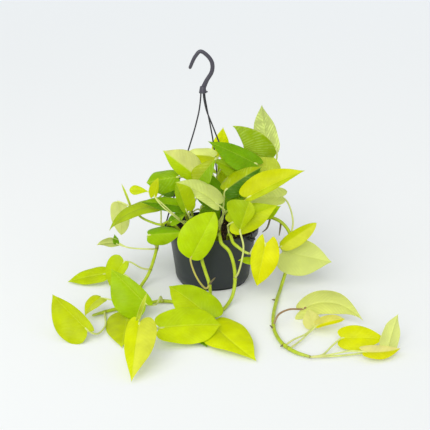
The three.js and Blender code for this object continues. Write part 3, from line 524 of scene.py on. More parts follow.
def blunt(lengths, start, end):
    """Shares of the full width along a path whose ends are rounded over the given reaches."""
    from_start = np.clip(lengths / max(start, 1e-6), 0, 1) if start else np.ones_like(lengths)
    from_end = np.clip((lengths[-1] - lengths) / max(end, 1e-6), 0, 1) if end else np.ones_like(lengths)
    return np.sqrt(np.clip(1 - (1 - np.minimum(from_start, from_end)) ** 2, 0.002, 1))


grey_polypropylene = moulded_plastic("dark grey polypropylene, moulded", "#46434c", 0.36, 0.3, 0.1)
hook_path = smooth_line([at(COLLAR_X, 0, (COLLAR_TOP + COLLAR_BOTTOM) / 2),
                         *[near(column, row, 0) for column, row in HOOK_LINE]], HOOK_STEP)
hook_lengths = lengths_along(hook_path)
hook_progress = hook_lengths / hook_lengths[-1]
hook_blunt = blunt(hook_lengths, 0, 3)
hook_narrowing = HOOK_NARROWING * hook_progress ** 3
hook_flare = HOOK_FLARE * np.clip(1 - hook_progress * 6, 0, 1)
hook_width = (HOOK_HALF_WIDTH + hook_flare - hook_narrowing) * hook_blunt
hook_depth = (HOOK_HALF_DEPTH - hook_narrowing / 2) * hook_blunt
collar_profile = [[0.3, COLLAR_BOTTOM], [6, COLLAR_BOTTOM], [6, COLLAR_BOTTOM + 1.4],
                  [5.3, COLLAR_BOTTOM + 5], [4.3, COLLAR_TOP], [0.3, COLLAR_TOP + 1.5]]
nub_path = np.array([(COLLAR_X + 5, -1.5, COLLAR_BOTTOM + 2.6), (COLLAR_X + 7.6, -1.5, COLLAR_BOTTOM + 2.2)])
nub_path = smooth_line(nub_path, 0.3)
make_piece("hanger_hook", [
    shell(carried(hook_path, hook_depth, hook_width, HOOK_SIDES, guide=(0, 1, 0))),
    shell(turned(softened(collar_profile, 0.6), 48, COLLAR_X, 0)),
    shell(carried(nub_path, NUB_RADIUS * blunt(lengths_along(nub_path), 0, NUB_RADIUS), NUB_RADIUS, 12)),
], [grey_polypropylene], ["hook"])


# The hanger: three thin black polypropylene strands. Each is moulded into the collar at its top, passes an
# eye of the pot with a knob above it, and is held by a barb below.
STRAND_RADIUS = 1.15
SOCKETS = {"back": 25, "left": 195, "right": 290}
SOCKET_CIRCLE = 3.3
SOCKET_DEPTH = 5.0
STRAND_DROP = 4.0
STRAND_LANDING = 9.0
STRAND_TAIL = 3.0
STRAND_STEP = 2.0
STRAND_SIDES = 16
KNOB_RADIUS = 2.6
KNOB_HEIGHT = 2.0
KNOB_GAP = 0.3
STRAND_LINES = {
    "left": [near(199.2, 110, 1), near(197, 120, 3), near(194.4, 130, 5), near(188, 151, 9),
             near(178, 184, 18)],
    "right": [near(206.4, 110, 2), near(211.5, 123, 5), near(218.7, 141.3, 10), near(232, 175, 25)],
    "back": [near(206.8, 108, -6), near(210, 124, -14), near(213, 140.6, -22), near(217.4, 177.6, -48)],
}


def knob(bottom, x, y):
    """A rounded washer moulded on a strand."""
    profile = [[0.3, bottom], [KNOB_RADIUS, bottom], [KNOB_RADIUS, bottom + KNOB_HEIGHT],
               [0.3, bottom + KNOB_HEIGHT]]
    return shell(turned(softened(profile, 0.7), 24, x, y))


strand_polypropylene = moulded_plastic("black polypropylene strand, drawn", "#29282c", 0.38, 0.25, 0.06)
for name, line in STRAND_LINES.items():
    turn = np.radians(SOCKETS[name])
    top_x, top_y = COLLAR_X + SOCKET_CIRCLE * np.cos(turn), SOCKET_CIRCLE * np.sin(turn)
    x, y = eye_place(name)
    top = [at(top_x, top_y, COLLAR_BOTTOM + SOCKET_DEPTH - 1), at(top_x, top_y, COLLAR_BOTTOM - STRAND_DROP)]
    bottom = [at(x, y, height) for height in (EYE_TOP + STRAND_LANDING, EYE_TOP,
                                              EYE_TOP - EYE_THICKNESS - STRAND_TAIL)]
    strand_path = smooth_line([*top, *line, *bottom], STRAND_STEP)
    strand_rings = carried(strand_path, STRAND_RADIUS, STRAND_RADIUS, STRAND_SIDES)
    make_piece(f"hanger_strand_{name}",
               [shell(strand_rings), knob(EYE_TOP + KNOB_GAP, x, y),
                knob(EYE_TOP - EYE_THICKNESS - KNOB_GAP - KNOB_HEIGHT, x, y)],
               [strand_polypropylene], [f"strand_{name}"])


# The leafy stems: golden pothos. Every stem is one living piece with its leaf stalks, leaves, leaf scars and
# short aerial roots. The stems are smooth and round, and the heart-shaped leaves are waxy, a little quilted
# between their side veins, and lit through by the light behind them.
STEM_SIDES = 20
STEM_STEP = 1.3
STALK_SIDES = 14
STALK_STEP = 1.3
STALK_RADIUS = 1.55
STALK_END = 0.07
ROOT_DEPTH = 16.0
ROOT_UPRIGHTS = [-ROOT_DEPTH, -ROOT_DEPTH / 2, 3.0]
BLADE_THICKNESS = 0.8
BLADE_ROWS = np.concatenate([[0.004, 0.02, 0.045], np.linspace(0.07, 0.96, 62), [0.975, 0.99, 0.997]])
BLADE_STEPS = np.concatenate([np.linspace(-1, 1, 25), [-0.985, 0.985]])
BLADE_COLUMNS = np.sort(np.sign(BLADE_STEPS) * np.abs(BLADE_STEPS) ** 1.5)
MIDRIB_PACE = 2.2
RIPPLES = 9
VEIN_SPACING = 6.5
VEIN_SLANT = 0.8
VEIN_BEND = 0.012
GROOVE_DEPTH = 0.4
RIB_DEPTH = 0.9
QUILTING = 0.6
THIN_STALK_SHARE = 0.55
FULL_STALK_BLADE = 45.0
STALK_RISE = 0.4
STALK_ARRIVAL = 0.35
SHEATH_SHARE = 0.32
SHEATH_PAPER = 0.45
NODE_REACH = 2.4
NODE_SWELLING = 0.17
SCAR_REACH = 0.8
TIP_REACH = 25.0
PLAIN_LEAF = {"bend": 30, "fold": 18, "curl": -38, "wave": 0.06, "skew": 0, "sway": 0, "via": None,
              "stalk": "green", "veining": 0.15}
# Leaf shades, given leaf by leaf so that each leaf shows the colour it has from the viewpoint, so they carry
# painted light over the leaves' own lime, gold and green: middle, deep and shadow paint the shade on leaves
# turned from the lamp or deep in the crown, and pale, frost and cream are partly the paler lower faces and
# partly painted glare of the lamp on upper faces.
LEAF_SHADES_AND_PAINTED_LIGHT = {"bright": "#ecea00", "yellow": "#e3e500", "lemon": "#d4e200", "gold": "#cfd200", "lime": "#c4d900",
          "vivid": "#c4e800", "green": "#b4cf00", "fresh": "#9bc200", "middle": "#80b200", "deep": "#6b9c00",
          "shadow": "#4c8600", "olive": "#b8c61a", "dusky": "#d0de46", "pale": "#e6e38a", "frost": "#d6e084",
          "cream": "#f4f09a", "pale_gold": "#e4e148", "spike": "#e2e85e"}
STALKS = {"green": "#dbe382", "tan": "#c9bf5a", "brown": "#9a7a55"}
STEM_GREEN = "#b9cc2a"
SHEATH_TAN = "#cdbb86"
SCAR_BROWN = "#7a5a33"
ROOT_BROWN = "#77694a"

# The outlines of a blade as (share of the half width, share of the length) from the stalk to the tip: the
# heart of most leaves, one with longer lobes, a broader one, one without lobes, and the wedge of leaves
# whose lobes are turned away.
HEART = [(0, 0), (0.24, -0.08), (0.58, -0.09), (0.88, 0.03), (1, 0.23), (0.96, 0.42), (0.78, 0.6),
         (0.45, 0.78), (0.14, 0.92), (0, 1)]
ARROW = [(0, 0), (0.2, -0.1), (0.4, -0.2), (0.7, -0.09), (0.93, 0.1), (1, 0.3), (0.9, 0.5),
         (0.56, 0.74), (0.2, 0.91), (0, 1)]
BROAD = [(0, 0), (0.2, -0.06), (0.5, -0.07), (0.78, 0.04), (0.96, 0.28), (1, 0.5), (0.9, 0.7),
         (0.56, 0.84), (0.18, 0.94), (0, 1)]
EGG = [(0, 0), (0.34, 0.02), (0.68, 0.08), (0.92, 0.22), (1, 0.4), (0.92, 0.6), (0.7, 0.78),
       (0.4, 0.91), (0.13, 0.98), (0, 1)]
WEDGE = [(0, 0), (0.3, 0.16), (0.62, 0.34), (0.9, 0.54), (1, 0.72), (0.8, 0.86), (0.42, 0.95),
         (0.14, 0.985), (0, 1)]


def leaf(base, tip, face, width, shade, left_half_colour_and_light=None, outline=HEART, **changes):
    """One leaf: where its stalk meets the blade, its tip, the way its upper face looks, its width and shade,
    and the shade that the half to the left of the midrib may have, which on many leaves is painted light: a
    paler half for the lamp's glare on some, a darker half for the shade on others. bend arches the midrib,
    fold lifts both halves from it, and curl turns them on towards the edge, all in degrees; wave ripples the
    edge, skew makes one half wider, sway carries the midrib sideways, and veining says how plainly the side
    veins show, in their relief and in the painted sheen and shade between them. start is the place on the
    stem that the stalk grows from, and via what the stalk passes on its way."""
    return {**PLAIN_LEAF, "base": base, "tip": tip, "face": face, "width": width, "shade": shade,
            "left_half_colour_and_light": left_half_colour_and_light or shade, "outline": outline, "start": base, **changes}


# The stems: root is where a stem stands in the growing mix, route the points that it then passes, and spurs
# are its aerial roots.
STEMS = {
    "vine_front_right": {
        "root": [8, -50], "radius": 2.8,
        "route": [at(9, -59, 96), at(11, -71, 99), at(14, -82, 91), near(229, 251, 86), near(234, 266, 90),
                  near(235, 280, 94), near(233, 294, 103), above(228, 304, 5), above(220, 312, 4),
                  above(208, 320, 4), above(192, 326, 4), above(176, 331, 4), above(160, 334, 4)],
        "leaves": [
            leaf(near(240, 230.7, 97), near(249.8, 201.3, 93), at(0, -0.75, 0.65), 46, "lime",
                 left_half_colour_and_light="green", outline=WEDGE, skew=-0.43, start=near(235, 278, 94),
                 via=[near(238.6, 272, 98), near(243.5, 247, 99)]),
            leaf(above(211, 317.5, 18), near(168.8, 286.2, 140), at(0.1, -0.75, 0.65), 58, "green",
                 left_half_colour_and_light="lime", start=above(222, 311, 4)),
            leaf(above(160.5, 328, 25), above(221, 325, 21), at(0, -0.6, 0.8), 60, "lemon", left_half_colour_and_light="lime",
                 outline=BROAD, bend=20, start=above(160, 334, 4)),
            leaf(above(213, 324.5, 10), above(256.2, 360.8, 4), at(0.1, -0.3, 0.95), 70, "bright",
                 skew=-0.04, sway=5, bend=12, start=above(208, 320, 4)),
            leaf(above(195, 335, 6), above(207, 347, 2.5), at(0, -0.1, 0.95), 24, "middle", bend=8, curl=-8,
                 start=above(190, 327, 4)),
        ],
    },
    "vine_front_left": {
        "root": [-12, -52], "radius": 2.8,
        "route": [at(-13, -60, 96), at(-15, -71, 99), at(-18, -82, 91), near(201.5, 258, 86),
                  near(205.5, 272, 89), near(209.5, 285, 95), above(209, 298, 5), above(196, 302, 4),
                  above(178, 302, 4), above(162, 301, 4), above(148, 303, 4), above(132, 306, 4),
                  above(112, 310, 4), above(92, 315.6, 4)],
        "leaves": [
            leaf(near(190.5, 258.8, 97), near(214.8, 212.2, 88), at(0.1, -0.95, 0.3), 56, "vivid",
                 stalk="tan", outline=EGG, skew=-0.25, bend=25, start=near(209.5, 285, 95),
                 via=[near(206, 288.5, 101), near(197, 278, 102)]),
            leaf(above(146, 304, 27), near(111.2, 269, 150), at(-0.1, -0.85, 0.5), 51, "green", skew=-0.48,
                 bend=20, start=above(162, 301, 4)),
            leaf(above(87.5, 330, 18), above(52.4, 294.3, 54), at(-0.2, -0.8, 0.6), 46, "gold", skew=-0.48,
                 bend=20, start=above(104, 312, 4), via=[above(105, 326, 5), above(96, 334, 9)]),
            leaf(above(101, 298, 26), above(85, 316, 10), at(-0.3, -0.7, 0.65), 26, "lemon", left_half_colour_and_light="dusky",
                 bend=70, start=above(148, 303, 4), via=[above(140, 303, 17), above(130, 302, 21),
                 above(113, 300, 25)]),
        ],
        "spurs": [[near(209.5, 284, 97), near(212, 281, 100), near(215.5, 277.3, 102)]],
    },
    "vine_left_hanging": {
        "root": [-52, -12], "radius": 2.7,
        "route": [at(-60, -14, 95), at(-72, -17, 100), at(-84, -20, 93), near(157, 247, 30),
                  near(153, 262, 30), near(148, 275, 30), above(141, 286, 5), above(136, 297, 6),
                  above(135, 304, 10.5), above(135.5, 312, 8), above(139, 319, 4)],
        "leaves": [
            leaf(near(149, 235, 50), near(183, 232.6, 66), at(0, -0.8, 0.55), 39, "green", left_half_colour_and_light="fresh",
                 fold=-20, bend=15, start=near(157, 248, 30)),
            leaf(near(117.5, 242.5, 30), near(96.8, 245, 30), at(0.2, 0.75, 0.6), 27, "frost",
                 start=near(156, 249, 30), via=[near(147, 249, 34), near(127, 247.2, 34)]),
            leaf(near(116.5, 243.5, 32), near(114.5, 234.3, 34), at(0, -0.9, 0.4), 10, "middle",
                 start=near(156, 249, 30), via=[near(147, 249, 34), near(127, 247.2, 34)]),
            leaf(near(124, 262, 42), near(109.5, 286, 46), at(-0.1, -0.8, 0.6), 36, "lime", skew=0.35,
                 start=near(150, 270, 30), via=[near(141.4, 268, 36), near(130, 262, 40)]),
            leaf(above(128, 314, 4.5), above(121.5, 347.5, 3), at(-0.1, -0.2, 0.95), 50, "lemon", skew=0.2,
                 bend=6, fold=2, curl=-3, wave=0.02, start=above(136, 313, 6)),
            leaf(above(139.5, 322, 50), above(131.4, 381.6, 4), at(0, -0.4, 0.9), 44, "yellow",
                 left_half_colour_and_light="pale_gold", skew=-0.22, start=above(139, 318, 4), via=[above(140, 330, 12)]),
            leaf(above(105, 274, 18), above(67.7, 282, 3), at(0, -0.5, 0.85), 34, "lime", bend=15,
                 start=above(136, 297, 6)),
            leaf(above(138.5, 321, 50), near(146.8, 292.8, 296), at(-0.3, -0.9, 0.3), 13, "spike", bend=-12,
                 fold=30, curl=70, wave=0, start=above(139, 318, 4), via=[above(140, 330, 12)]),
        ],
    },
    "vine_left_reaching": {
        "root": [-44, -30], "radius": 1.9,
        "route": [at(-52, -35, 96), near(169.5, 221.5, 40), near(160.6, 224.5, 46), near(150.3, 221.7, 46),
                  near(141.7, 217.6, 42), near(136, 212, 38), near(129.6, 204.4, 34)],
        "leaves": [
            leaf(near(156, 206, 52), near(109.3, 230.5, 58), at(-0.2, -0.42, 0.9), 33, "olive", bend=70,
                 start=near(160.6, 225, 46)),
            leaf(near(184, 207, 63), near(140, 202, 72), at(0, -0.7, 0.7), 26, "fresh", left_half_colour_and_light="deep",
                 bend=20, start=near(170, 222, 40), via=[near(180, 218, 52)]),
            leaf(near(117.5, 201.5, 14), near(121.3, 235, 14), at(0.3, 0.9, 0.2), 34, "pale", outline=EGG,
                 start=near(136, 212, 38), via=[near(129, 206, 22)]),
            leaf(near(129.6, 205, 34), near(121.6, 183.8, 30), at(0.4, -0.8, 0.2), 9, "spike", bend=-10,
                 fold=35, curl=70, wave=0),
        ],
    },
    "vine_right": {
        "root": [54, 6], "radius": 2.8,
        "route": [at(58, 3, 98), at(66, -4, 112), near(267.6, 216.4, 15), near(281, 222, 22),
                  near(290, 234, 28), near(291.5, 252, 36), near(286, 271, 44), above(281, 287, 6),
                  above(277, 299, 4.5), above(273.2, 318, 4.5), above(275, 332, 4.5), above(284, 345, 4.5),
                  above(296.7, 352.6, 4.5), above(311, 357, 4.5)],
        "leaves": [
            leaf(near(282, 197, 20), near(243, 201, 50), at(0.1, 0.9, 0.2), 38, "cream", veining=0.6,
                 start=near(290, 236, 28), via=[near(293, 222, 26), near(288, 203, 22)]),
            leaf(near(283, 252, 46), near(331.8, 262.1, 60), at(0.1, 0.95, -0.1), 64, "pale", skew=-0.12,
                 bend=15, start=near(291.5, 252, 36)),
            leaf(near(279.8, 247.2, 58), near(316.5, 222.9, 72), at(0, -0.85, 0.5), 27, "pale_gold",
                 left_half_colour_and_light="gold", outline=EGG, skew=0.2, fold=-12, curl=-15, bend=20,
                 start=near(291, 242, 32)),
            leaf(above(302, 309, 21), above(363, 320.5, 12), at(0.1, 0.9, 0.3), 50, "pale", left_half_colour_and_light="cream",
                 veining=0.3, stalk="brown", sway=21, bend=15, start=above(275, 326, 4)),
            leaf(above(313, 326.5, 9), near(308, 309, 205), at(0.1, 0.8, 0.4), 28, "pale",
                 start=above(285.5, 346, 4), via=[above(293, 340, 8), above(305.6, 334, 9)]),
            leaf(above(318, 325, 14), above(345, 319, 16), at(0, -0.7, 0.7), 24, "yellow", left_half_colour_and_light="pale",
                 fold=25, curl=50, start=above(290, 349, 4), via=[above(300, 341, 6), above(311, 331, 8)]),
            leaf(above(342, 338, 15), above(386, 339, 16), at(0, -0.7, 0.7), 38, "yellow", bend=15,
                 start=above(311, 357, 4), via=[above(322, 355, 6), above(333, 345, 11)]),
            leaf(near(387.5, 348.5, 289), near(398, 314.2, 266), at(-0.3, 0.9, 0.2), 36, "cream", bend=10,
                 start=above(311, 357, 4), via=[above(335, 356, 4), above(364, 353, 4)]),
            leaf(above(365, 352, 13), above(400.5, 348.5, 10), at(0, -0.5, 0.85), 24, "yellow",
                 left_half_colour_and_light="cream", sway=4, bend=15, start=above(311, 357, 4), via=[above(330, 354.5, 7),
                 above(352, 351, 12)]),
        ],
        "spurs": [[near(270.6, 217, 16), near(267, 228, 26), near(262, 232.5, 34)], [near(281, 222, 22),
                  near(280, 230, 24), near(279, 236, 26)], [above(277, 300, 4.5), above(271.5, 299.5, 5)],
                  [above(275, 330, 4.5), above(269.5, 325, 8)], [above(284, 345, 4.5),
                  above(280, 346.5, 5)]],
    },
    "vine_right_front": {
        "root": [24, -46], "radius": 2.6,
        "route": [at(25, -56, 95), at(28, -69, 99), at(32, -82, 92), near(238, 247, 92),
                  near(244, 251.5, 95), near(250, 254, 97)],
        "leaves": [
            leaf(near(232, 222.5, 78), near(277.5, 205.3, 74), at(0.1, -0.9, 0.35), 44, "lemon",
                 left_half_colour_and_light="lime", skew=0.1, bend=15, start=at(26, -60, 97)),
            leaf(near(265.5, 243.8, 104), near(256.8, 286, 116), at(-0.15, -0.95, 0.2), 44, "yellow",
                 left_half_colour_and_light="bright", outline=ARROW, skew=-0.15, bend=15, start=near(250, 254, 97)),
            leaf(near(256, 262, 84), near(238, 260.5, 84), at(0, -0.4, 0.9), 18, "green",
                 start=near(250, 254, 97)),
        ],
    },
    "vine_back": {
        "root": [-14, 60], "radius": 2.7,
        "route": [at(-15, 66, 96), at(-17, 76, 100), at(-19, 87, 91), at(-17, 93, 64), at(-9, 98, 36),
                  at(0, 106, 9), at(14, 118, 4), at(32, 130, 4)],
        "leaves": [
            leaf(at(-40, 102, 74), at(-54, 114, 32), at(-0.2, 0.9, 0.3), 42, "green",
                 start=at(-19, 88, 86)),
            leaf(at(14, 106, 56), at(36, 116, 16), at(0.2, 0.9, 0.4), 40, "lime", start=at(-12, 96, 46)),
            leaf(at(-14, 124, 20), at(-44, 146, 5), at(-0.2, 0.5, 0.85), 40, "lime", start=at(0, 106, 9)),
            leaf(at(44, 138, 16), at(68, 160, 4), at(0.2, 0.4, 0.9), 36, "green", start=at(32, 130, 4)),
        ],
    },
    "shoot_front_centre": {
        "root": [12, -34], "radius": 2.1,
        "route": [at(11, -37, 100), at(8, -42, 116)],
        "leaves": [
            # Painted glare: this leaf is frost-pale all over for the lamp's glare on its upper face.
            leaf(near(217, 204, 85), near(175.5, 182.3, 78), at(0.2, -0.6, 0.75), 37, "frost", veining=0.4,
                 skew=0.25, start=at(11, -37, 98), bend=45),
            # Painted shade: the lower half of this leaf is shadow green and its upper half a lighter green.
            leaf(near(225.7, 190, 69), near(262, 166.8, 58), at(-0.2, -0.75, 0.6), 47, "shadow",
                 left_half_colour_and_light="green", veining=0.5, skew=-0.15, fold=-14, start=at(11, -38, 104),
                 via=[near(222, 222, 46), near(223.5, 205, 56)]),
            leaf(near(227, 211, 52), near(244, 190, 46), at(0, -0.9, 0.4), 31, "middle",
                 start=at(11, -38, 104)),
        ],
    },
    "shoot_left_front": {
        "root": [-30, -30], "radius": 2.1,
        "route": [at(-33, -32, 102), at(-38, -36, 122)],
        "leaves": [
            leaf(near(186, 210, 95), near(176, 182, 105), at(0, -0.9, 0.4), 28, "green", left_half_colour_and_light="fresh",
                 outline=BROAD, skew=0.4, start=at(-33, -32, 100)),
            leaf(near(216, 158.5, 54), near(195.5, 184, 62), at(-0.2, -0.8, 0.5), 35, "olive",
                 left_half_colour_and_light="fresh", veining=0.4, outline=WEDGE, start=at(-38, -36, 122), via=[at(-26, -40, 150),
                 at(-10, -46, 184)]),
            leaf(near(148, 191.5, 88), near(129.3, 190, 88), at(-0.1, -0.7, 0.6), 16, "lemon", outline=WEDGE,
                 start=at(-31, -31, 98), via=[near(173, 213.5, 81), near(160.5, 202, 89)]),
            leaf(near(154.4, 195.6, 91), near(158.4, 177.5, 89), at(0, -0.9, 0.4), 15, "gold", outline=ARROW,
                 skew=-0.4, fold=10, start=at(-31, -31, 94), via=[near(174, 216, 82), near(161, 205, 91)]),
            leaf(near(171, 222, 62), near(187, 212, 64), at(0, -0.8, 0.6), 18, "fresh", left_half_colour_and_light="middle",
                 start=at(-33, -32, 102)),
        ],
    },
    "shoot_left_back": {
        "root": [-38, 14], "radius": 2.2,
        "route": [at(-43, 12, 104), at(-50, 6, 130)],
        "leaves": [
            # Painted glare: the upper right half of this leaf is pale for the lamp's glare on it.
            leaf(near(194.5, 174.5, 54), near(162.8, 150.6, 54), at(-0.2, -0.8, 0.5), 47, "pale",
                 left_half_colour_and_light="lime", veining=0.3, skew=0.28, fold=-16, curl=-26, start=at(-45, 10, 112),
                 via=[at(-40, -10, 142), at(-34, -32, 166)]),
            leaf(near(178, 177, 48), near(146.4, 182.8, 56), at(-0.2, -0.8, 0.5), 49, "fresh", veining=0.4,
                 outline=BROAD, fold=-20, start=at(-50, 6, 130)),
            leaf(near(179, 188, 2), near(156, 192, -4), at(-0.2, -0.7, 0.6), 30, "deep",
                 start=at(-43, 12, 104)),
        ],
    },
    "shoot_back_centre": {
        "root": [-6, 20], "radius": 2.2,
        "route": [at(-6, 19, 108), at(-3, 14, 146)],
        "leaves": [
            # Painted glare: the upper half of this leaf is cream for the lamp's glare on it.
            leaf(near(214, 157, 20), near(181.5, 156.7, 21), at(0, -0.45, 0.9), 37.5, "cream", left_half_colour_and_light="gold",
                 start=at(-5, 17, 130)),
            leaf(near(219.5, 156, -50), near(223.2, 127.2, -52), at(0, -0.9, 0.3), 29, "bright",
                 start=at(-3, 14, 146), via=[at(-9, 22, 165), at(-8, 38, 186)]),
            leaf(near(257, 164.3, 23), near(208, 141.3, 41), at(0.1, -0.8, 0.6), 41, "middle", skew=-0.25,
                 bend=12, start=at(-4, 15, 138), via=[at(20, 0, 164), at(46, -13, 185)]),
            leaf(near(214, 198, 2), near(190, 170, 6), at(0, -0.8, 0.6), 48, "middle",
                 start=at(-6, 19, 98)),
            leaf(near(204, 226, 4), near(220, 196, -4), at(0.1, -0.8, 0.5), 34, "middle",
                 start=at(-6, 20, 90)),
        ],
    },
    "shoot_right_back": {
        "root": [28, 28], "radius": 2.2,
        "route": [at(32, 28, 108), at(42, 25, 142)],
        "leaves": [
            leaf(near(270, 150.5, -36), near(261.8, 105, -46), at(-0.5, 0.75, 0.3), 47, "frost", veining=1.8,
                 start=at(42, 25, 142)),
            leaf(near(276.8, 151.5, -8), near(232.6, 126, 0), at(0.1, -0.5, 1), 65, "green", left_half_colour_and_light="fresh",
                 veining=0.7, outline=BROAD, bend=82, fold=-40, curl=-22, start=at(38, 26, 128)),
            leaf(near(273, 176, 5), near(243, 146, 1), at(0.1, -0.75, 0.65), 47, "dusky", veining=0.4,
                 start=at(32, 28, 108)),
            leaf(near(238, 212, -27), near(217, 165, -23), at(0.1, -0.8, 0.5), 48, "lime",
                 start=at(28, 28, 92)),
        ],
    },
    "shoot_right": {
        "root": [38, -18], "radius": 2.1,
        "route": [at(42, -22, 102), at(48, -28, 118)],
        "leaves": [
            leaf(near(248, 197.5, 84), near(304.8, 170.6, 81), at(0, -0.75, 0.65), 36, "lime",
                 left_half_colour_and_light="lemon", skew=-0.5, bend=22, start=at(42, -22, 104), via=[at(44, -42, 124),
                 at(49, -64, 146)]),
            leaf(near(266, 216, 34), near(281, 206, 40), at(0.1, -0.7, 0.7), 18, "lime",
                 start=at(48, -28, 118)),
            leaf(near(250, 177, 30), near(213, 160, 34), at(0, -0.85, 0.5), 37.5, "fresh",
                 start=at(48, -28, 118)),
        ],
    },
    "shoot_back_left": {
        "root": [-32, 42], "radius": 2.2,
        "route": [at(-35, 46, 104), at(-38, 52, 122)],
        "leaves": [
            leaf(at(-60, 64, 128), at(-84, 92, 98), at(-0.5, 0.5, 0.7), 46, "green",
                 start=at(-35, 46, 104)),
            leaf(at(-40, 76, 138), at(-52, 114, 106), at(-0.2, 0.7, 0.7), 48, "lime",
                 start=at(-38, 52, 122)),
            leaf(at(-60, 38, 142), at(-90, 56, 120), at(-0.6, 0.2, 0.75), 40, "green",
                 start=at(-36, 48, 114)),
        ],
    },
    "shoot_back": {
        "root": [6, 48], "radius": 2.2,
        "route": [at(6, 54, 106), at(4, 58, 126)],
        "leaves": [
            leaf(at(2, 86, 138), at(-8, 130, 110), at(0, 0.7, 0.7), 50, "lime", start=at(4, 58, 126)),
            leaf(at(40, 90, 122), at(54, 120, 86), at(0.3, 0.7, 0.6), 44, "green", start=at(6, 54, 106)),
            leaf(at(-2, 66, 164), at(-26, 90, 182), at(-0.2, 0.5, 0.8), 38, "lime", start=at(5, 57, 120)),
        ],
    },
    "shoot_back_right": {
        "root": [38, 36], "radius": 2.2,
        "route": [at(42, 42, 106), at(46, 48, 124)],
        "leaves": [
            leaf(at(68, 58, 134), at(98, 84, 104), at(0.5, 0.5, 0.7), 46, "lime", start=at(46, 48, 124)),
            leaf(at(74, 34, 118), at(98, 44, 96), at(0.6, 0.2, 0.75), 36, "green", start=at(42, 42, 106)),
        ],
    },
}


def spline(points, turns):
    """Places along the even Catmull-Rom curve through some points, by shares of its number of pieces."""
    points = np.array(points, float)
    ends = len(points) - 1
    place = np.asarray(turns) * ends
    piece = np.minimum(place.astype(int), ends - 1)
    share = (place - piece)[:, None]
    before, first = points[np.maximum(piece - 1, 0)], points[piece]
    last, after = points[piece + 1], points[np.minimum(piece + 2, ends)]
    leaving, arriving = (last - before) / 2, (after - first) / 2
    return (first + share * leaving + share ** 2 * (3 * (last - first) - 2 * leaving - arriving)
            + share ** 3 * (2 * (first - last) + leaving + arriving))


def blade_axes(blade):
    """The directions along a blade's chord, out of its upper face and across it."""
    along = unit(blade["tip"] - blade["base"])
    upper = unit(blade["face"] - along * (blade["face"] @ along))
    return along, upper, np.cross(along, upper)


def blade_point(blade, distance, share, lift):
    """Points of a blade at distances along the midrib, signed shares of the half width and lifts off the
    middle of its thickness. The midrib is an arc of a circle over the chord; across it, the slope grows
    evenly from the fold at the midrib, and the rim ripples."""
    along, upper, across = blade_axes(blade)
    length = np.linalg.norm(blade["tip"] - blade["base"])
    progress = distance / length
    arc = np.radians(1 if abs(blade["bend"]) < 1 else blade["bend"])
    radius = length / (2 * np.sin(arc / 2))
    turn = arc * (progress - 0.5)
    side = np.sign(share)
    half = blade["width"] / 2 * (1 + blade["skew"] * side)
    rate = np.radians(1 if abs(blade["curl"]) < 1 else blade["curl"]) / half
    start = np.radians(blade["fold"])
    slope = start + rate * half * np.abs(share)
    sideways = side * (np.sin(slope) - np.sin(start)) / rate
    ripple = blade["wave"] * half * share ** 2 * np.sin(RIPPLES * progress + side)
    rise = (np.cos(start) - np.cos(slope)) / rate + ripple
    leaning = -side * np.sin(slope)
    outward = rise + lift * np.where(share == 0, 1, np.cos(slope))
    forth = radius * (np.sin(arc / 2) + np.sin(turn)) + outward * np.sin(turn)
    out = radius * (np.cos(turn) - np.cos(arc / 2)) + outward * np.cos(turn)
    aside = sideways + lift * leaning + blade["sway"] * 4 * progress * (1 - progress)
    return blade["base"] + forth[..., None] * along + out[..., None] * upper + aside[..., None] * across


def blade_shell(blade, draws):
    """The closed skin of a blade: its upper and lower face in rows from the stalk to the tip. A groove runs
    along the midrib above and a rib below, and the faces swell a little between the side veins. The grain
    holds the count of side veins, the share of the half width, and the strength of the veins and of the
    painted sheen and shade between them, which is negative on the lower face. The tint is the leaf's shade,
    blended on the half left of the midrib into the shade given for that half, which paints the lamp's glare
    on that half of some leaves and the shade on that half of others."""
    length = np.linalg.norm(blade["tip"] - blade["base"])
    rims = spline(blade["outline"], BLADE_ROWS)
    across = np.concatenate([BLADE_COLUMNS, BLADE_COLUMNS[::-1]])
    side = np.repeat([1.0, -1.0], len(BLADE_COLUMNS))
    reach = np.abs(across)
    distance = length * ((1 - reach) * BLADE_ROWS[:, None] ** MIDRIB_PACE + reach * rims[:, 1:])
    share = across * rims[:, :1]
    aside = np.abs(share) * blade["width"] / 2
    vein = (distance - VEIN_SLANT * aside - VEIN_BEND * aside ** 2) / VEIN_SPACING + 0.5 * (share > 0)
    vein = vein + draws.uniform(0, 1)
    progress = np.clip(distance / length, 0, 1)
    thickness = BLADE_THICKNESS * (0.5 - 0.25 * reach ** 4)
    fading = np.clip(aside / 3, 0, 1) * (1 - reach ** 3) * (1 - progress ** 4)
    quilt = QUILTING * blade["veining"] * fading * (0.5 - 0.5 * np.cos(2 * np.pi * vein))
    groove = GROOVE_DEPTH * np.exp(-(aside / 1.0) ** 2) * (1 - 0.8 * progress)
    rib = RIB_DEPTH * np.exp(-(aside / (1.3 - 0.8 * progress)) ** 2) * (1 - 0.85 * progress)
    lift = np.where(side > 0, thickness + quilt - groove, -thickness + quilt - rib)
    # The half to the left of the midrib takes the leaf's other shade, which paints the lamp's glare on that
    # half of some leaves and the shade on that half of others.
    left = np.clip(0.5 - 0.5 * share * blade["width"] / 2.4, 0, 1)[..., None]
    tone = linear(LEAF_SHADES_AND_PAINTED_LIGHT[blade["shade"]]) * (1 - left) + linear(LEAF_SHADES_AND_PAINTED_LIGHT[blade["left_half_colour_and_light"]]) * left
    tone = tone * draws.uniform(0.93, 1.06, 3)
    grain = np.stack([vein, share, np.broadcast_to(side * blade["veining"], vein.shape)], -1)
    return shell(blade_point(blade, distance, share, lift), tone, grain)


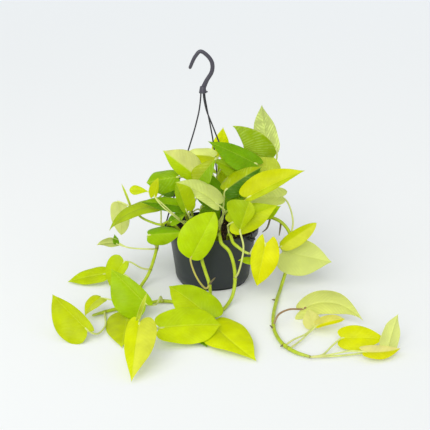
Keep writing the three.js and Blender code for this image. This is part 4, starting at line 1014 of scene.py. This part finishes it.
def stalk_shell(blade, places):
    """A leaf stalk: it leaves the stem upwards within a pale sheath, comes in along the midrib and ends
    inside the blade behind a slight swelling."""
    start = places[np.argmin(np.linalg.norm(places - blade["start"], axis=1))]
    length = np.linalg.norm(blade["tip"] - blade["base"])
    span = np.linalg.norm(blade["base"] - start)
    arriving = blade["base"] - blade_axes(blade)[0] * STALK_ARRIVAL * span
    handles = [start, start + at(0, 0, STALK_RISE * span), arriving, blade["base"]]
    turns = np.array([1 / 3, 2 / 3])[:, None]
    weights = [(1 - turns) ** 3, 3 * turns * (1 - turns) ** 2, 3 * turns ** 2 * (1 - turns), turns ** 3]
    middle = blade["via"] or list(sum(weight * handle for weight, handle in zip(weights, handles)))
    end = blade_point(blade, np.array(STALK_END * length), np.array(0.0), np.array(-BLADE_THICKNESS / 2))
    path = smooth_line([start, *middle, blade["base"], end], STALK_STEP)
    lengths = lengths_along(path)
    share = lengths / lengths[-1]
    sheath = np.clip(1 - share / SHEATH_SHARE, 0, 1) ** 0.6
    knee = np.exp(-((share - 0.9) / 0.06) ** 2)
    growth = min(1, blade["width"] / FULL_STALK_BLADE)
    thickness = STALK_RADIUS * (THIN_STALK_SHARE + (1 - THIN_STALK_SHARE) * growth)
    radius = thickness * (1 - 0.12 * share + 0.1 * knee) * blunt(lengths, 0, 1.2)
    rings = carried(path, radius * (1 + 0.22 * sheath), radius, STALK_SIDES)
    sheathed = np.clip(0.8 * sheath - 0.1, 0, 1)[:, None, None]
    papery = SHEATH_PAPER * sheathed
    tone = linear(STALKS[blade["stalk"]]) * (1 - papery) + linear(SHEATH_TAN) * papery
    around = np.linspace(0, 1, STALK_SIDES, endpoint=False)
    grain = np.stack(np.broadcast_arrays(lengths[:, None], around, 0.0), -1)
    return shell(rings, tone, grain, 1)


def stem_shell(points, radius, nodes):
    """A stem: round and smooth, swollen at each node, where the scar of a leaf or a sheath leaves a brown
    ring, and tapered towards its growing tip."""
    path = smooth_line(points, STEM_STEP)
    lengths = lengths_along(path)
    gaps = np.array([lengths - lengths[np.argmin(np.linalg.norm(path - node, axis=1))] for node in nodes])
    swelling = np.exp(-(gaps / NODE_REACH) ** 2).max(0)
    scar = np.exp(-((gaps + 2 * SCAR_REACH) / SCAR_REACH) ** 2).max(0)
    tip = np.clip((lengths[-1] - lengths) / TIP_REACH, 0, 1)
    swollen = 1 + NODE_SWELLING * swelling - 0.04 * scar
    width = radius * (0.72 + 0.28 * tip) * swollen * blunt(lengths, 2, 2.4)
    rings = carried(path, width, width * 0.96, STEM_SIDES)
    share = 0.75 * scar[:, None, None]
    young = (1 - tip)[:, None, None] * 0.4
    green = linear(STEM_GREEN) * (1 - young) + linear(STALKS["green"]) * young
    tone = green * (1 - share) + linear(SCAR_BROWN) * share
    around = np.linspace(0, 1, STEM_SIDES, endpoint=False)
    grain = np.stack(np.broadcast_arrays(lengths[:, None], around, 1.0), -1)
    return shell(rings, tone, grain, 1)


def spur_shell(points):
    """An aerial root: round, and drawn out to a point."""
    path = smooth_line(points, STALK_STEP)
    lengths = lengths_along(path)
    share = lengths / lengths[-1]
    radius = STALK_RADIUS * (1.05 - 0.6 * share ** 2) * blunt(lengths, 1.5, 4)
    around = np.linspace(0, 1, STALK_SIDES, endpoint=False)
    grain = np.stack(np.broadcast_arrays(lengths[:, None], around, 0.5), -1)
    return shell(carried(path, radius, radius, STALK_SIDES), linear(ROOT_BROWN), grain, 1)


def waxy_leaf():
    """A pothos leaf: a waxy skin that mirrors softly over light-coloured flesh that glows when lit from
    behind. Streaks of paler gold follow the side veins, the midrib and the rim are lighter, and the underside
    is paler and more matt. Where the side veins show plainly, patches of the flesh between them are painted
    lighter and mixed towards a pale painted sheen, and the whole leaf is painted a little darker as shade.
    The clouds of its colour are about 18 mm across, and its cells are drawn about 1 mm wide to show."""
    material = bare_material("pothos leaf, waxy")
    add = partial(add_node, material)
    place = add("TexCoord", out="Object")
    tint = add("Attribute", out="Color", attribute_name="tint")
    count, side, veining = add("SeparateXYZ", {0: add("Attribute", out="Vector", attribute_name="grain")}
                               ).node.outputs
    reach = add("Math", {0: side}, operation="ABSOLUTE")
    strength = add("Math", {0: veining}, operation="ABSOLUTE")
    upper = add("Math", {0: veining, 1: 0.0}, operation="GREATER_THAN")

    wander = add("TexNoise", {"Vector": place, "Scale": 60.0, "Detail": 2.0})
    wander = add("Math", {0: wander, 1: 0.7, 2: count}, operation="MULTIPLY_ADD")
    between = add("Math", {0: wander, 1: 0.5}, operation="PINGPONG")
    vein = add("MapRange", {"Value": between, "From Max": 0.16, "To Min": 1.0, "To Max": 0.0},
               interpolation_type="SMOOTHSTEP")
    midrib = add("MapRange", {"Value": reach, "From Min": 0.01, "From Max": 0.06, "To Min": 0.6,
                              "To Max": 0.0}, interpolation_type="SMOOTHSTEP")
    rim = add("MapRange", {"Value": reach, "From Min": 0.93, "From Max": 1.0, "To Max": 0.35})
    faint = add("Math", {0: vein, 1: 0.16}, operation="MULTIPLY")
    lines = add("Math", {0: faint, 1: midrib}, operation="MAXIMUM")
    lines = add("Math", {0: lines, 1: rim}, operation="MAXIMUM")
    veined = add("Math", {0: lines, 1: 0.4}, operation="MULTIPLY")

    spread = add("Math", {0: side, 1: 2.2}, operation="MULTIPLY")
    streak_place = add("CombineXYZ", {0: count, 1: spread})
    streak_seed = add("VectorMath", {0: streak_place, 1: tint}, operation="ADD")
    streaks = add("TexNoise", {"Vector": streak_seed, "Scale": 1.9, "Detail": 4.0, "Roughness": 0.62})
    streak = add("MapRange", {"Value": streaks, "From Min": 0.56, "From Max": 0.72, "To Max": 0.18})
    clouds = add("TexNoise", {"Vector": place, "Scale": 55.0, "Detail": 4.0})
    tone = add("MapRange", {"Value": clouds, "From Min": 0.3, "From Max": 0.7, "To Min": 0.92,
                            "To Max": 1.08})
    base = add("HueSaturation", {"Value": tone, "Color": tint})
    gold = add("Mix", {0: streak, 6: base, 7: opaque("#f2f000")}, 2, data_type="RGBA")
    top = add("Mix", {0: veined, 6: gold, 7: opaque("#eaf05a")}, 2, data_type="RGBA")
    below = add("Mix", {0: 0.6, 6: top, 7: opaque("#e2ec96")}, 2, data_type="RGBA")
    colour = add("Mix", {0: upper, 6: below, 7: top}, 2, data_type="RGBA")

    # Painted highlight, sheen and shade: in patches, the flesh between the side veins is painted lighter and
    # mixed towards a pale painted sheen, as strongly as the veins show, and leaves with plain veins are
    # painted a little darker all over.
    patches = add("TexNoise", {"Vector": place, "Scale": 70.0, "Detail": 2.0})
    patches = add("MapRange", {"Value": patches, "From Min": 0.42, "From Max": 0.6})
    ridge_highlight = add("MapRange", {"Value": between, "From Min": 0.05, "From Max": 0.45},
                interpolation_type="SMOOTHSTEP")
    ridge_highlight = add("Math", {0: ridge_highlight, 1: strength}, operation="MULTIPLY")
    ridge_highlight = add("Math", {0: ridge_highlight, 1: patches}, operation="MULTIPLY")
    shaded = add("MapRange", {"Value": strength, "To Min": 1.0, "To Max": 0.93})
    sunlit = add("Math", {0: ridge_highlight, 1: 0.2, 2: shaded}, operation="MULTIPLY_ADD")
    colour = add("HueSaturation", {"Value": sunlit, "Color": colour})
    sheen = add("Math", {0: ridge_highlight, 1: 0.25}, operation="MULTIPLY")
    colour = add("Mix", {0: sheen, 6: colour, 7: opaque("#eaf0a8")}, 2, data_type="RGBA")

    gloss = add("MapRange", {"Value": clouds, "From Min": 0.3, "From Max": 0.7, "To Min": 0.30,
                             "To Max": 0.42})
    roughness = add("MapRange", {"Value": upper, "To Min": 0.55, "To Max": gloss})
    cells = add("TexNoise", {"Vector": place, "Scale": 900.0, "Detail": 2.0})
    sunk = add("Math", {0: vein, 1: -0.8, 2: cells}, operation="MULTIPLY_ADD")
    bump = add("Bump", {"Height": sunk, "Strength": 0.25, "Distance": 0.0003})
    skin = add("BsdfPrincipled", {"Base Color": colour, "Roughness": roughness, "Normal": bump,
                                  "IOR": 1.42, "Specular IOR Level": 0.18})
    glow = add("HueSaturation", {"Saturation": 1.1, "Value": 1.25, "Color": colour})
    flesh = add("BsdfTranslucent", {"Color": glow, "Normal": bump})
    return finish(material, add("MixShader", {0: 0.34, 1: skin, 2: flesh}))


def smooth_stem():
    """A green stem: a smooth, faintly waxy skin, ribbed very finely along its length, with pale and darker
    flecks that are drawn out the same way."""
    material = bare_material("pothos stem, smooth green")
    add = partial(add_node, material)
    tint = add("Attribute", out="Color", attribute_name="tint")
    grain = add("Attribute", out="Vector", attribute_name="grain")
    drawn = add("Mapping", {"Vector": grain, "Scale": (0.12, 9.0, 1.0)})
    flecks = add("TexNoise", {"Vector": drawn, "Scale": 1.0, "Detail": 3.0})
    blotches = add("TexNoise", {"Vector": add("TexCoord", out="Object"), "Scale": 90.0, "Detail": 3.0})
    mixed = add("Math", {0: flecks, 1: blotches}, operation="ADD")
    tone = add("MapRange", {"Value": mixed, "From Min": 0.7, "From Max": 1.3, "To Min": 0.82, "To Max": 1.12})
    colour = add("HueSaturation", {"Value": tone, "Color": tint})
    bump = add("Bump", {"Height": flecks, "Strength": 0.3, "Distance": 0.0004})
    return finish(material, add("BsdfPrincipled", {"Base Color": colour, "Roughness": 0.42, "IOR": 1.42,
                                                   "Normal": bump}))


leaf_material = waxy_leaf()
stem_material = smooth_stem()
for number, (name, stem) in enumerate(STEMS.items()):
    draws = np.random.default_rng(number)
    x, y = stem["root"]
    points = [*[at(x, y, SOIL_TOP + height) for height in ROOT_UPRIGHTS], *stem["route"]]
    places = smooth_line(points, STEM_STEP)[1:]
    shells = [stem_shell(points, stem["radius"], [blade["start"] for blade in stem["leaves"]])]
    for blade in stem["leaves"]:
        shells += [blade_shell(blade, draws), stalk_shell(blade, places)]
    shells += [spur_shell(spur) for spur in stem.get("spurs", [])]
    make_piece(f"pothos_{name}", shells, [leaf_material, stem_material], [name])
